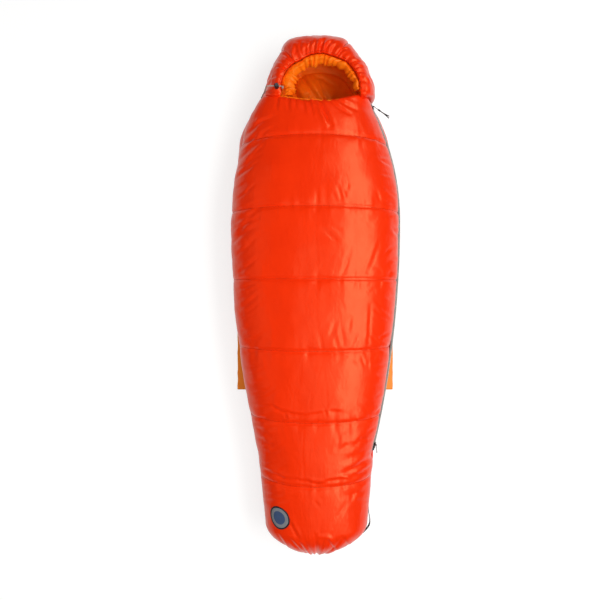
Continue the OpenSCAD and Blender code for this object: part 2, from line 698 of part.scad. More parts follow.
draft_high = 2 * zip_half_gap - 2 * layer_gap;
draft_wide = 30;
draft_inset = 16 / side_radius * 180 / PI;
module zip_draft_tube() {
  color("orangered") {
    translate([shoulder_cx, chest_y, seam_z])
      rotate_extrude(angle = zip_top_turn - 0.6, $fn = 200)
        translate([shoulder_radius - 10 - draft_wide, 0]) draft_profile();
    translate([side_cx, chest_y, seam_z]) rotate([0, 0, zip_foot_turn + draft_inset])
      rotate_extrude(angle = -zip_foot_turn - draft_inset, $fn = 200)
        translate([side_radius - 10 - draft_wide, 0]) draft_profile();
  }
}
module draft_profile() {
  r = draft_high / 2;
  translate([r, 0]) circle(r = r);
  translate([draft_wide - r, 0]) circle(r = r);
  translate([r, -r]) square([draft_wide - 2 * r, draft_high]);
}

// Slider, drawn with X out of the zip, Y along the chain towards the nose, Z across it
coil_top = tape_thick / 2 + coil_height;
plate_z = coil_top + slider_clear;
plate = 1.4;
back_z = -tape_thick / 2 - slider_clear - 1;
half_l = slider_length / 2;
channel_w = coil_split / 2 + coil_width + slider_clear;
tail_w = channel_w + 1;
nose_w = tail_w + 1;
pin_x = plate_z + plate + 2.4;
pin_y = -2;
lug_gap = 4.4;
shield = [
  [-tail_w, -half_l],
  [tail_w, -half_l],
  [nose_w, half_l * 0.35],
  [nose_w - 1, half_l * 0.8],
  [nose_w / 2, half_l],
  [-nose_w / 2, half_l],
  [-nose_w + 1, half_l * 0.8],
  [-nose_w, half_l * 0.35]
];
module raised(x0, x1) {
  translate([x0, 0, 0]) rotate([0, 90, 0]) linear_extrude(x1 - x0) children();
}
module slider_body() {
  raised(plate_z, plate_z + plate) polygon(shield);
  difference() {
    raised(tape_thick / 2 + slider_clear, plate_z) polygon(shield);
    raised(tape_thick / 2, plate_z + 0.1)
      square([2 * channel_w, slider_length + 2], center = true);
  }
  raised(back_z - plate, back_z) polygon(shield);
  translate([back_z, half_l * 0.55, -coil_split / 2 + slider_clear])
    cube([plate_z - back_z, half_l * 0.35, coil_split - 2 * slider_clear]);
  for (s = [-1, 1]) translate([0, 0, s * (lug_gap / 2 + 0.6)]) {
    translate([pin_x, pin_y, 0]) cylinder(r = 1.6, h = 1.2, center = true);
    translate([plate_z + plate - 0.2, pin_y - 1.6, -0.6]) cube([pin_x - plate_z - plate + 0.2, 3.2, 1.2]);
  }
  translate([pin_x, pin_y, 0]) cylinder(r = pull_pin_r, h = lug_gap + 1.2, center = true);
}
// A pull that hangs on the pin and points along the chain
module pull_tab(reach, slot) {
  eye_r = 1.9;
  half_w = lug_gap / 2 - 0.2;
  difference() {
    union() {
      cylinder(r = eye_r, h = 2 * half_w, center = true);
      translate([-0.8, -reach + 3, -half_w]) cube([1.6, reach - 3, 2 * half_w]);
      translate([-0.8, -reach + 3, 0]) rotate([0, 90, 0]) cylinder(r = 3, h = 1.6);
    }
    cylinder(r = pull_pin_r + pull_clear, h = 20, center = true);
    if (slot > 0) translate([-2, -reach + 3, 0]) rotate([0, 90, 0]) cylinder(r = slot, h = 4);
  }
}
module on_shoulder(turn) {
  translate([shoulder_cx, chest_y, seam_z]) rotate([0, 0, turn])
    translate([shoulder_radius, 0, 0]) rotate([0, -zip_tilt, 0]) children();
}
module on_side(turn) {
  translate([side_cx, chest_y, seam_z]) rotate([0, 0, turn])
    translate([side_radius, 0, 0]) rotate([0, -zip_tilt, 0]) children();
}
top_turn = zip_top_turn - stop_turn - (half_l + 0.4) / shoulder_radius * 180 / PI;
bottom_turn = zip_foot_turn + box_turn + (half_l + 0.4) / side_radius * 180 / PI;
top_reach = 18;
bottom_reach = 24;
module top_slider() {
  color("black") on_shoulder(top_turn) slider_body();
}
module top_pull_frame() {
  on_shoulder(top_turn) translate([pin_x, pin_y, 0]) rotate([0, 0, pull_lift]) children();
}
// The upper pull ends in a ferrule that grips two short cords side by side
pull_cord_r = 1.4;
grip = 7;
strand_z = pull_cord_r + 0.25;
module top_pull() {
  color("black") top_pull_frame() difference() {
    union() {
      pull_tab(top_reach, 0);
      translate([0, -top_reach + 1, 0]) rotate([90, 0, 0]) hull() {
        translate([0, strand_z, 0]) cylinder(r = pull_cord_r + 1, h = grip);
        translate([0, -strand_z, 0]) cylinder(r = pull_cord_r + 1, h = grip);
      }
    }
    for (s = [-1, 1]) translate([0, -top_reach - 1, s * strand_z]) rotate([90, 0, 0])
      cylinder(r = pull_cord_r + 0.1, h = grip);
  }
}
module top_pull_cord() {
  a = -top_reach - 1.3;
  color("black") top_pull_frame() for (s = [-1, 1]) tube(spline([
    [0, a, s * strand_z],
    [0, a - 6, s * strand_z],
    [0, a - 14, s * strand_z],
    [s * 0.6, a - 24, s * (strand_z + 0.4)],
    [s * 1.6, a - 32, s * (strand_z + 2)],
    [s * 2.4, a - 39, s * (strand_z + 5)]
  ], 2), pull_cord_r);
}
module bottom_slider() {
  color("black") on_side(bottom_turn) rotate([180, 0, 0]) slider_body();
}
module bottom_pull() {
  color("gray") on_side(bottom_turn) rotate([180, 0, 0]) translate([pin_x, pin_y, 0])
    rotate([0, 0, 180 - 18]) pull_tab(bottom_reach, 1.7);
}

// Pad sleeve: a flat loop of fabric sewn to the underside by two flaps
sleeve_half = apex_x - 7;
module sleeve_round(r, x) {
  translate([-x, r]) circle(r = r);
  translate([x, r]) circle(r = r);
  translate([-x, 0]) square([2 * x, 2 * r]);
}
module pad_sleeve() {
  r = sleeve_high / 2;
  x = sleeve_half - r;
  color("darkorange") translate([0, sleeve_y + sleeve_length, 0]) rotate([90, 0, 0])
    linear_extrude(sleeve_length) difference() {
      sleeve_round(r, x);
      translate([0, fabric]) sleeve_round(r - fabric, x);
      translate([-sleeve_half + sleeve_flap, r]) square([2 * (sleeve_half - sleeve_flap), sleeve_high]);
    }
}

// Plain round patch on the foot, lying on the shell
patch_y = -646;
patch_a = 128;
function patch_at(r, w, lift) =
  let (
    y = patch_y + r * sin(w),
    span = norm(upper_out(patch_y, patch_a + 1) - upper_out(patch_y, patch_a - 1)) / 2,
    a = patch_a - r * cos(w) / span
  )
  towards(upper_skin(y, a, fullness_at(y)), upper_face(y, a, fullness_at(y)), -lift);
patch_rings = [0.25, 0.6, 1];
patch_lift = 0.8;
module patch() {
  n = 20;
  r = patch_d / 2 - 3.4;
  rings = concat(
    [for (s = patch_rings) [for (k = [0 : n - 1]) patch_at(r * s, 360 * k / n, patch_lift)]],
    [for (s = [1, 0.6, 0.25]) [for (k = [0 : n - 1]) patch_at(r * s, 360 * k / n, patch_lift + 1)]]
  );
  color("slategray") loops(rings);
}
module patch_border() {
  n = 24;
  r = patch_d / 2 - 1.6;
  rings = [for (k = [0 : n]) let (w = 360 * k / n) [for (j = [0 : 5])
    patch_at(r + 1.5 * cos(60 * j), w, patch_lift + 1.2 + 1.2 * sin(60 * j))]];
  ring_pts = [for (k = [0 : n - 1], p = rings[k]) p];
  faces = [for (k = [0 : n - 1], c = [0 : 5], t = two(k * 6 + c, k * 6 + (c + 1) % 6,
    ((k + 1) % n) * 6 + (c + 1) % 6, ((k + 1) % n) * 6 + c, true)) t];
  color("darkslategray") polyhedron(ring_pts, faces, convexity = 6);
}

// Hang loop: a strip of webbing sewn down at both ends beside the foot
loop_y = -642;
loop_steps = 12;
function foot_side(y) =
  y > foot_y
  ? upper_half(y, 1)
  : upper_half(foot_y, 1) * foot_draw((foot_y - y) / foot_length);
function loop_path(t) =
  let (y = loop_y - loop_length * t)
  [foot_side(y) + layer_gap + 0.3 + loop_bow * pow(sin(180 * t), 2), y];
module hang_loop() {
  flat = [for (i = [0 : loop_steps]) loop_path(i / loop_steps)];
  back = [for (i = [loop_steps : -1 : 0]) loop_path(i / loop_steps) + [1.3, 0]];
  color("dimgray") translate([0, 0, seam_z - loop_width / 2]) linear_extrude(loop_width)
    polygon(concat(flat, back));
}

upper_shell();
upper_fill(1);  // upper_fill_1
upper_fill(2);  // upper_fill_2
upper_fill(3);  // upper_fill_3
upper_fill(4);  // upper_fill_4
upper_fill(5);  // upper_fill_5
upper_fill(6);  // upper_fill_6
upper_fill(7);  // upper_fill_7
upper_liner();
collar_binding();
lower_shell();
lower_fill(1);  // lower_fill_1
lower_fill(2);  // lower_fill_2
lower_fill(3);  // lower_fill_3
lower_fill(4);  // lower_fill_4
lower_fill(5);  // lower_fill_5
lower_fill(6);  // lower_fill_6
lower_fill(7);  // lower_fill_7
lower_liner();
foot_shell();
foot_fill();
foot_liner();
hood_shell_left();
hood_shell_crown();
hood_shell_right();
hood_fill_left();
hood_fill_crown();
hood_fill_right();
hood_liner();
hood_back_shell();
hood_back_fill();
hood_back_liner();
face_ruffle();
drawcord();
drawcord_tail();
cord_end_bead();
cord_lock_barrel();
cord_lock_button();
cord_lock_spring();
zip_tape_upper();
zip_tape_lower();
zip_coil_upper();
zip_coil_lower();
zip_top_stops();
zip_bottom_stop();
zip_draft_tube();
top_slider();
top_pull();
top_pull_cord();
bottom_slider();
bottom_pull();
pad_sleeve();
patch();
patch_border();
hang_loop();
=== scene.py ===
import math
import bmesh
import bpy
import numpy as np
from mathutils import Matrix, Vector


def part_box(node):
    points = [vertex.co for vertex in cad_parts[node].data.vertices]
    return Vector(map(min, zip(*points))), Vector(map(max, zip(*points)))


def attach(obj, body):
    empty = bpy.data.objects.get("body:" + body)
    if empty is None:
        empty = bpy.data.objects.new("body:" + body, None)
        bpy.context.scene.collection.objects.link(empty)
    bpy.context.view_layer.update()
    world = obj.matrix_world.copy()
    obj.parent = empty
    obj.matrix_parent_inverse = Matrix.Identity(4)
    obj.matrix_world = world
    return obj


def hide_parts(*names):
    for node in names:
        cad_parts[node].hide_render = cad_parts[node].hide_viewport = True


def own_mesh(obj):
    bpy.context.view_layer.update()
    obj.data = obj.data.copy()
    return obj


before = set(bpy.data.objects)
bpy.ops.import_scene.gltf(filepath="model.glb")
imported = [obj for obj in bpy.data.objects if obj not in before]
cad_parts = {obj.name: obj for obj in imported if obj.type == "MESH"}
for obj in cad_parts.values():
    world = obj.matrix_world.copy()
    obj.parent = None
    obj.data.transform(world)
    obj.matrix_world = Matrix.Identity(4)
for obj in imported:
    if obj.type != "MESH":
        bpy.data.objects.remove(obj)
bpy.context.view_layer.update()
bpy.ops.object.select_all(action="DESELECT")
print("frame loaded,", len(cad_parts), "solids")


# small sums used all over, lengths in millimetres until a mesh is made
def hold(t):
    return np.clip(t, 0.0, 1.0)


def ease(t):
    c = hold(t)
    return c * c * (3 - 2 * c)


def mix(a, b, t):
    return a + (b - a) * t


def bell(t):
    return np.exp(-t ** 2)


def fullTurn(count):
    return np.linspace(0, 2 * math.pi, count)


def unit(v):
    return v / np.maximum(np.linalg.norm(v, axis=-1, keepdims=True), 1e-9)


def runOf(line):  # distance along a line of points
    return np.concatenate([[0], np.cumsum(np.linalg.norm(np.diff(line, axis=0), axis=1))])


def stacked(*parts):  # parts of a grid's points, side by side
    return np.stack(np.broadcast_arrays(*parts), axis=-1)


grain = np.random.default_rng(11).random((64, 64))


def ripple(u, v):  # smooth noise from -1 to 1, the same on every run
    i, j = np.floor(u).astype(int), np.floor(v).astype(int)
    fu, fv = ease(u - i), ease(v - j)
    low, high = [mix(*[grain[(i + a) % 64, (j + b) % 64] for a in (0, 1)], fu) for b in (0, 1)]
    return 2 * mix(low, high, fv) - 1


def ripples(x, y, *layers):  # each layer: height, length across and along, and its place in the noise
    return sum(high * ripple(x / across + i, y / along + j) for high, across, along, i, j in layers)


def smoothRoute(points, n):
    p = np.array(points, float)
    out = []
    for i in range(len(p) - 1):
        a, b, c, d = p[max(i - 1, 0)], p[i], p[i + 1], p[min(i + 2, len(p) - 1)]
        for k in range(n):
            t = k / n
            out.append(0.5 * (2 * b + (c - a) * t + (2 * a - 5 * b + 4 * c - d) * t * t
                              + (3 * b - a - 3 * c + d) * t ** 3))
    return np.array(out + [p[-1]])


def gridFaces(nr, nc, first=0, turn=False):
    r, c = np.arange(nr - 1)[:, None], np.arange(nc - 1)[None, :]
    a = first + r * nc + c
    corners = [a, a + nc, a + nc + 1, a + 1] if turn else [a, a + 1, a + nc + 1, a + nc]
    return np.stack(corners, axis=-1).reshape(-1, 4).tolist()


def gridNormals(p, turn=False):
    n = unit(np.cross(np.gradient(p, axis=0), np.gradient(p, axis=1)))
    return -n if turn else n


def gridMap(u, v):  # map of a grid, in metres
    return stacked(u, v).reshape(-1, 2) / 1000


def makePiece(name, points, faces, materials, uv=None, slots=None, closed=True):
    mesh = bpy.data.meshes.new(name)
    mesh.from_pydata((np.asarray(points, float) / 1000).tolist(), [], faces)
    for m in materials:
        mesh.materials.append(m)
    if slots is not None:
        mesh.polygons.foreach_set("material_index", np.asarray(slots, dtype=np.int32))
    if uv is not None:
        layer = mesh.uv_layers.new(name="cut")
        corner = np.zeros(len(mesh.loops), dtype=np.int32)
        mesh.loops.foreach_get("vertex_index", corner)
        layer.data.foreach_set("uv", np.asarray(uv, dtype=np.float32)[corner].ravel())
    if closed:  # seam columns and poles are merged, and every face is turned outwards
        work = bmesh.new()
        work.from_mesh(mesh)
        bmesh.ops.remove_doubles(work, verts=work.verts, dist=2e-6)
        bmesh.ops.recalc_face_normals(work, faces=work.faces)
        work.to_mesh(mesh)
        work.free()
    mesh.polygons.foreach_set("use_smooth", np.ones(len(mesh.polygons), dtype=bool))
    mesh.update()
    piece = bpy.data.objects.new(name, mesh)
    bpy.context.scene.collection.objects.link(piece)
    return piece


def makeTube(name, skin, materials, uv):  # rows of closed loops, with a fan over each end
    nr, nc = skin.shape[:2]
    points = np.concatenate([skin.reshape(-1, 3), skin[[0, -1], :-1].mean(axis=1)])
    last = (nr - 1) * nc
    faces = gridFaces(nr, nc) + [[nr * nc, i + 1, i] for i in range(nc - 1)]
    faces += [[nr * nc + 1, last + i, last + i + 1] for i in range(nc - 1)]
    return makePiece(name, points, faces, materials, np.concatenate([uv, uv[[0, -1]]]))


def tube(name, route, radius, sides, material):
    route = np.asarray(route, float)
    step = unit(np.gradient(route, axis=0))
    up = np.array([0.0, 0.0, 1.0]) if abs(step[0][2]) < 0.8 else np.array([1.0, 0.0, 0.0])
    w = fullTurn(sides + 1)[:, None]
    radius = np.broadcast_to(radius, (len(route),))
    skin = []
    for at, way, size in zip(route, step, radius):
        up = unit(up - way * np.dot(up, way))
        skin.append(at + size * (np.cos(w) * np.cross(way, up) + np.sin(w) * up))
    run = runOf(route)
    uv = gridMap(np.linspace(0, 1000, sides + 1)[None, :], run[:, None])
    return makeTube(name, np.array(skin), [material], uv), run[-1] / 1000


def finer(grid, breaks=()):  # halves the spacing both ways, sharp at the rows in breaks
    def halve(p, stops):
        n = len(p)
        out = np.zeros((2 * n - 1,) + p.shape[1:])
        out[::2] = p
        stops = set(stops) | {0, n - 1}
        for i in range(n - 1):
            before = p[i - 1] if i not in stops else 2 * p[i] - p[i + 1]
            after = p[i + 2] if i + 1 not in stops else 2 * p[i + 1] - p[i]
            out[2 * i + 1] = (9 * (p[i] + p[i + 1]) - before - after) / 16
        return out
    rows = halve(grid, breaks)
    return np.swapaxes(halve(np.swapaxes(rows, 0, 1), ()), 0, 1)


def pressFolds(flat, folds):  # each fold: depth, width and route, with a ridge beside the groove
    spots = flat.reshape(-1, 2)
    moved = np.zeros(len(spots))
    for deep, wide, *route in folds:
        q = np.array(route, float).reshape(-1, 2)
        inReach = np.all((spots > q.min(axis=0) - 5 * wide) & (spots < q.max(axis=0) + 5 * wide), axis=1)
        near = spots[inReach]
        run = runOf(q)
        best, gain = np.full(len(near), 1e9), np.zeros(len(near))
        for i in range(len(q) - 1):
            way = q[i + 1] - q[i]
            t = hold(((near - q[i]) @ way) / (way @ way))
            off = near - q[i] - t[:, None] * way
            d = np.linalg.norm(off, axis=1)
            side = np.sign(way[0] * off[:, 1] - way[1] * off[:, 0])
            along = (run[i] + t * math.sqrt(way @ way)) / run[-1]
            fade = np.sqrt(np.sin(math.pi * np.clip(along, 0.02, 0.98)))
            groove, ridge = bell(d / wide), bell((side * d - 1.9 * wide) / (1.3 * wide))
            gain = np.where(d < best, fade * (0.55 * ridge - groove), gain)
            best = np.minimum(best, d)
        moved[inReach] += deep * gain
    return moved.reshape(flat.shape[:-1])


# camera straight above the bag, at the photograph's distance
photoView = {"place": (-0.048, -0.013, 1.85), "lens": 34.8, "sensor": 36}
camera = bpy.data.objects.new("camera", bpy.data.cameras.new("camera"))
camera.location = photoView["place"]
camera.data.lens = photoView["lens"]
camera.data.sensor_width = photoView["sensor"]
bpy.context.scene.collection.objects.link(camera)
bpy.context.scene.camera = camera
bpy.context.scene.view_settings.view_transform = "Standard"
print("camera set")


# materials
def linear(code):
    parts = [int(code[i:i + 2], 16) / 255 for i in (1, 3, 5)]
    return tuple(p / 12.92 if p <= 0.04045 else ((p + 0.055) / 1.055) ** 2.4 for p in parts) + (1.0,)


def add(tree, kind, settings=None, links=None):
    made = tree.nodes.new(kind)
    for key, value in (settings or {}).items():
        if isinstance(key, str) and hasattr(made, key):
            setattr(made, key, value)
        else:
            made.inputs[key].default_value = value
    for key, socket in (links or {}).items():
        tree.links.new(socket, made.inputs[key])
    return made


def newMaterial(name, shine):
    made = bpy.data.materials.new(name)
    made.use_nodes = True
    tree = made.node_tree
    shader = tree.nodes["Principled BSDF"]
    for key, value in shine.items():
        shader.inputs[key].default_value = value
    return made, tree, shader


def maths(tree, operation, a, b=0.0, clamp=False):
    made = add(tree, "ShaderNodeMath", {"operation": operation, "use_clamp": clamp}, {0: a})
    if isinstance(b, float):
        made.inputs[1].default_value = b
    else:
        tree.links.new(b, made.inputs[1])
    return made.outputs[0]


def sampled(tree, kind, where, settings, out="Fac"):
    return add(tree, kind, settings, {"Vector": where}).outputs[out]


def noise(tree, where, mm, detail, more=None):
    settings = {"Scale": 1000 / mm, "Detail": detail, **(more or {})}
    return sampled(tree, "ShaderNodeTexNoise", where, settings)


def paint(tree, shader, first, second, share):  # base colour between two tones
    tone = add(tree, "ShaderNodeMix", {"data_type": "RGBA", 6: linear(first), 7: linear(second)}, {0: share})
    tree.links.new(tone.outputs[2], shader.inputs["Base Color"])


def emboss(tree, shader, height, strength, deep):  # one bump more, over those that are there
    bump = add(tree, "ShaderNodeBump", {"Strength": strength, "Distance": deep}, {"Height": height})
    for link in shader.inputs["Normal"].links:
        tree.links.new(link.from_socket, bump.inputs["Normal"])
    tree.links.new(bump.outputs["Normal"], shader.inputs["Normal"])


def gloss(rough, level=0.5, tint="#ffffff", more=None):
    return {"Roughness": rough, "Specular IOR Level": level, "Specular Tint": linear(tint), **(more or {})}


# lengths of the small relief in millimetres, its depths in metres; the two steps are wave scales for one band
surface = {"bandStep": 0.3142, "slantStep": 0.6283, "crumpleMm": 9.0, "crumpleDeep": 0.002,
           "weaveDeep": 0.0004, "creaseMm": 38.0, "creaseDeep": 0.012, "creaseDraw": (1, 0.45, 1),
           "creaseTurn": (0, 0, 0.3), "wornMm": 7.0, "gritDeep": 0.0002, "duller": 0.1, "glossier": 0.06,
           "braid": 0.6, "braidDeep": 0.0004}


def wovenCloth(name, light, dark, threadMm, shine, crumple, weave, cloudMm=60.0, crease=0.0):
    # plain weave: threads over and under, a faint cloud of tone, and small crumples that catch light
    made, tree, shader = newMaterial(name, shine)
    where = add(tree, "ShaderNodeTexCoord").outputs["UV"]
    step = surface["bandStep"] * 1000 / threadMm
    thread = {"wave_type": "BANDS", "Scale": step, "Distortion": 0.4, "Detail": 1.0}
    over, under = [sampled(tree, "ShaderNodeTexWave", where, {**thread, "bands_direction": way})
                   for way in "XY"]
    paint(tree, shader, light, dark, noise(tree, where, cloudMm, 3.0))
    fine = noise(tree, where, surface["crumpleMm"], 4.0, {"Roughness": 0.6, "Distortion": 0.4})
    emboss(tree, shader, fine, crumple, surface["crumpleDeep"])
    emboss(tree, shader, maths(tree, "MULTIPLY", over, under), weave, surface["weaveDeep"])
    if crease:
        turned = {"Scale": surface["creaseDraw"], "Rotation": surface["creaseTurn"]}
        drawn = sampled(tree, "ShaderNodeMapping", where, turned, "Vector")
        field = noise(tree, drawn, surface["creaseMm"], 2.0, {"Distortion": 0.8})
        ridge = maths(tree, "ABSOLUTE", maths(tree, "SUBTRACT", field, 0.5))
        emboss(tree, shader, ridge, crease, surface["creaseDeep"])
    return made


def castFinish(name, light, dark, gritMm, shine, bite):
    # moulded or painted surface: fine grit, slightly uneven tone and gloss
    made, tree, shader = newMaterial(name, shine)
    where = add(tree, "ShaderNodeTexCoord").outputs["Object"]
    worn = noise(tree, where, surface["wornMm"], 2.0)
    paint(tree, shader, light, dark, worn)
    rough = shine["Roughness"]
    uneven = {"To Min": rough - surface["glossier"], "To Max": rough + surface["duller"]}
    mapped = add(tree, "ShaderNodeMapRange", uneven, {"Value": worn})
    tree.links.new(mapped.outputs[0], shader.inputs["Roughness"])
    emboss(tree, shader, noise(tree, where, gritMm, 4.0), bite, surface["gritDeep"])
    return made


def braidedCord(name, light, dark, strands, pitchMm, shine):
    # braided polyester: two sets of strands that cross, on the cord's own map
    made, tree, shader = newMaterial(name, shine)
    where = add(tree, "ShaderNodeTexCoord").outputs["UV"]
    laid = sampled(tree, "ShaderNodeMapping", where, {"Scale": (strands, 1000 / pitchMm, 1)}, "Vector")
    turned = sampled(tree, "ShaderNodeMapping", laid, {"Scale": (-1, 1, 1)}, "Vector")
    slant = {"bands_direction": "DIAGONAL", "Scale": surface["slantStep"]}
    left, right = [sampled(tree, "ShaderNodeTexWave", way, slant) for way in (laid, turned)]
    braid = maths(tree, "MAXIMUM", left, right)
    paint(tree, shader, dark, light, braid)
    emboss(tree, shader, braid, surface["braid"], surface["braidDeep"])
    return made


# nylon taffeta, calendered so that it shines softly; threads of 0.25 mm are drawn at 1.2 mm to show at all
shellNylon = wovenCloth("shell_nylon_taffeta", "#fa3205", "#f02b04", 1.2, gloss(0.3, 0.5, "#ffe49c"),
                        0.14, 0.05, crease=0.12)
# polyester taffeta of the lining, the face edge and the sleeve, softer in its shine
linerTaffeta = wovenCloth("liner_polyester_taffeta", "#ff6c0a", "#f65c06", 1.2, gloss(0.4, 0.3, "#ffdc8c"),
                          0.12, 0.06)
edgeTaffeta = wovenCloth("edge_taffeta", "#ff7c10", "#fa6c08", 1.0, gloss(0.36, 0.45, "#ffe2a0"),
                         0.15, 0.08, 25.0)
sleeveTaffeta = wovenCloth("sleeve_taffeta", "#ff9a30", "#f78a1e", 1.4, gloss(0.5, 0.4), 0.12, 0.08)
# woven polyester tape, matt
zipTapeWeave = wovenCloth("zip_tape_polyester", "#a3a29c", "#8f8e88", 0.9, gloss(0.75, 0.3),
                          0.05, 0.35, 12.0)
# narrow woven polyamide with a coarse rib
webbingWeave = wovenCloth("loop_webbing_polyamide", "#3f454c", "#2c3138", 1.6, gloss(0.7, 0.35),
                          0.05, 0.5, 10.0)
# cotton twill, bare, and the rayon thread that covers its edge
patchTwill = wovenCloth("patch_twill", "#46597c", "#384a6b", 0.9, gloss(0.8, 0.25), 0.04, 0.5, 14.0)
bandTwill = wovenCloth("patch_band_twill", "#8a8b8e", "#75767a", 0.9, gloss(0.8, 0.25), 0.04, 0.5, 14.0)
borderThread = wovenCloth("border_rayon_thread", "#26272b", "#191a1d", 0.7, gloss(0.5, 0.4), 0.04, 0.4, 8.0)
# twisted polyester sewing thread, coloured darker than the shell's red as painted shade along the seam lines
seamThreadPaintedShade = castFinish("seam_thread_painted_shade", "#9a2005", "#7e1804", 0.4, gloss(0.8, 0.15), 0.3)
# nylon monofilament, slightly clear and waxy
coilNylon = castFinish("zip_coil_monofilament", "#d9d8d1", "#c4c3bb", 0.5, gloss(0.4), 0.1)
# braided polyester cord
greyCord = braidedCord("drawcord_braid", "#b4b4aa", "#7e7e76", 8, 3.0, gloss(0.7, 0.3))
blackCord = braidedCord("pull_cord_braid", "#2d2d2f", "#121214", 8, 2.6, gloss(0.65, 0.35))
# moulded acetal with a fine spark-eroded grain
blackPlastic = castFinish("acetal_black_moulded", "#232325", "#19191b", 0.35, gloss(0.42), 0.12)
greyPlastic = castFinish("acetal_grey_moulded", "#4a4c50", "#3d3f43", 0.35, gloss(0.42), 0.12)
# die-cast zinc under stoved enamel, rounded and glossy
coat, metal = {"Coat Weight": 0.3, "Coat Roughness": 0.2}, {"Metallic": 1.0}
blackEnamel = castFinish("slider_black_enamel", "#202022", "#141416", 0.6, gloss(0.32, more=coat), 0.06)
greyEnamel = castFinish("pull_grey_enamel", "#8d8f92", "#75777b", 0.6, gloss(0.35, more=coat), 0.06)
# drawn spring wire, bright
springSteel = castFinish("spring_steel_wire", "#c9cacc", "#b5b6b9", 0.5, gloss(0.28, more=metal), 0.05)
print("materials made")


def dress(piece, body, nodes=()):
    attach(piece, body)
    if nodes:
        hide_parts(*nodes)
    return piece


# cords, on the routes of the solids that they stand for
drawcord = {"diameter": 3.0, "sides": 12, "tail": [
    (-97.42, 606.72, 162.27), (-98.06, 602.68, 162.87), (-99.96, 600.12, 169.27), (-99.0, 600.12, 181.8),
    (-103.0, 600.12, 187.7), (-108.0, 600.12, 189.3), (-115.0, 600.12, 189.3), (-125.0, 600.12, 189.3),
    (-135.0, 600.12, 189.3), (-145.0, 600.12, 184.3), (-148.17, 599.59, 165.34), (-150.45, 599.71, 148.49),
    (-155.75, 599.99, 130.25), (-160.6, 600.25, 110.08), (-162.64, 600.36, 93.48)]}
route = smoothRoute(drawcord["tail"], 4)
drawcordTail, longM = tube("drawcordTail", route, drawcord["diameter"] / 2, drawcord["sides"], greyCord)
dress(drawcordTail, "bag", ["drawcord_tail"])

pullCords = {"diameter": 2.8, "sides": 12, "strands": [
    [(192.21, 565.09, 83.94), (196.88, 561.45, 84.84), (203.12, 556.58, 86.04),
     (210.72, 550.1, 86.98), (216.89, 544.72, 86.37), (222.82, 540.31, 84.35)],
    [(191.2, 564.57, 87.04), (195.88, 560.93, 87.94), (202.12, 556.06, 89.14),
     (210.13, 550.39, 91.2), (216.43, 546.06, 94.21), (221.42, 541.95, 98.33)]]}
for letter, points in zip("AB", pullCords["strands"]):
    route = smoothRoute(points, 5)
    size = np.full(len(route), pullCords["diameter"] / 2)
    size[-3:] *= np.array([1.0, 0.95, 0.7])
    strand, longM = tube("pullCord" + letter, route, size, pullCords["sides"], blackCord)
    dress(strand, "upper_pull", ["top_pull_cord"])
print("cords laid")

# plan and heights of the bag, with the bow of its quilt seams and the fuller shoulder of the closed side
bag = {"apexX": 254.4, "chestY": 227.0, "shoulderR": 755.0, "sideR": 3045.0, "neckY": 590.0,
       "zipFootY": -470.0, "zipGap": 9.0, "gapEnd": 36, "gapRun": 30, "tilt": math.radians(20),
       "legTaper": 0.1, "footY": -690.0, "footDeep": 88.0, "insideDeep": 52.0, "domePower": 1.75,
       "footMidZ": 88.0, "seamZ": 80.0, "chestZ": 216.0, "neckZ": 184.0, "footZ": 186.0, "edgeRoll": 10.0,
       "collarScoop": 25.0, "proud": 3.0, "seamSplit": 0.15, "upperRoom": 1.9, "lowerRoom": 0.9,
       "linerZ": 40, "lowPower": 0.5, "sleeveZ": 8.3, "groundZ": 1.2, "sleeveEnds": (-312, 165),
       "sleeveEase": 70, "sideDip": 4.0, "sideDipWide": 11.0, "swell": 8.0, "swellY": 500, "swellLong": 75,
       "seams": [-690.0, -552.0, -367.0, -160.0, 47.0, 254.0, 461.0, 590.0],
       "bowAt": (-690, -552, -367, -160, 47, 254, 461, 560, 590), "bow": (-5, -12, -9, -7, 0, 5, 8, 4, 0)}
quiltSeams = np.array(bag["seams"][1:-1])
tapeReach = bag["zipGap"] * math.sin(bag["tilt"])


def seamHalf(y):
    reach = np.sqrt(np.maximum(bag["shoulderR"] ** 2 - (y - bag["chestY"]) ** 2, 0))
    high = bag["apexX"] - bag["shoulderR"] + reach
    low = np.maximum(y, bag["zipFootY"]) - bag["chestY"]
    side = bag["apexX"] - bag["sideR"] + np.sqrt(bag["sideR"] ** 2 - low ** 2)
    return np.where(y > bag["chestY"], high, side - bag["legTaper"] * np.maximum(bag["zipFootY"] - y, 0))


def seamSlant(y):
    far = np.where(y > bag["chestY"], (y - bag["chestY"]) / bag["shoulderR"],
                   (np.maximum(y, bag["zipFootY"]) - bag["chestY"]) / bag["sideR"])
    return np.sqrt(1 - far ** 2)


def zipHere(y):  # 1 along the zip, 0 where the two halves are sewn together
    return ease((y - bag["zipFootY"] + bag["gapEnd"]) / bag["gapRun"])


def crownZ(y):
    fall = ((y - bag["chestY"]) / (bag["neckY"] - bag["chestY"])) ** 2
    high = bag["chestZ"] - (bag["chestZ"] - bag["neckZ"]) * fall
    low = mix(bag["footZ"], bag["chestZ"], ease((y - bag["footY"]) / (bag["chestY"] - bag["footY"])))
    return np.where(y > bag["chestY"], high, low)


def seamBow(y):  # how far the ends of a quilt seam lie below its middle
    return np.interp(y, bag["bowAt"], bag["bow"])


def leftSwell(y, a):
    near = bell((y - bag["swellY"]) / bag["swellLong"])
    return (a > 90) * bag["swell"] * np.cos(np.radians(a)) ** 2 * near


def overTop(a):  # 0 at the two sides, 1 at the middle
    return np.sqrt(np.maximum(np.sin(np.radians(a)), 0))


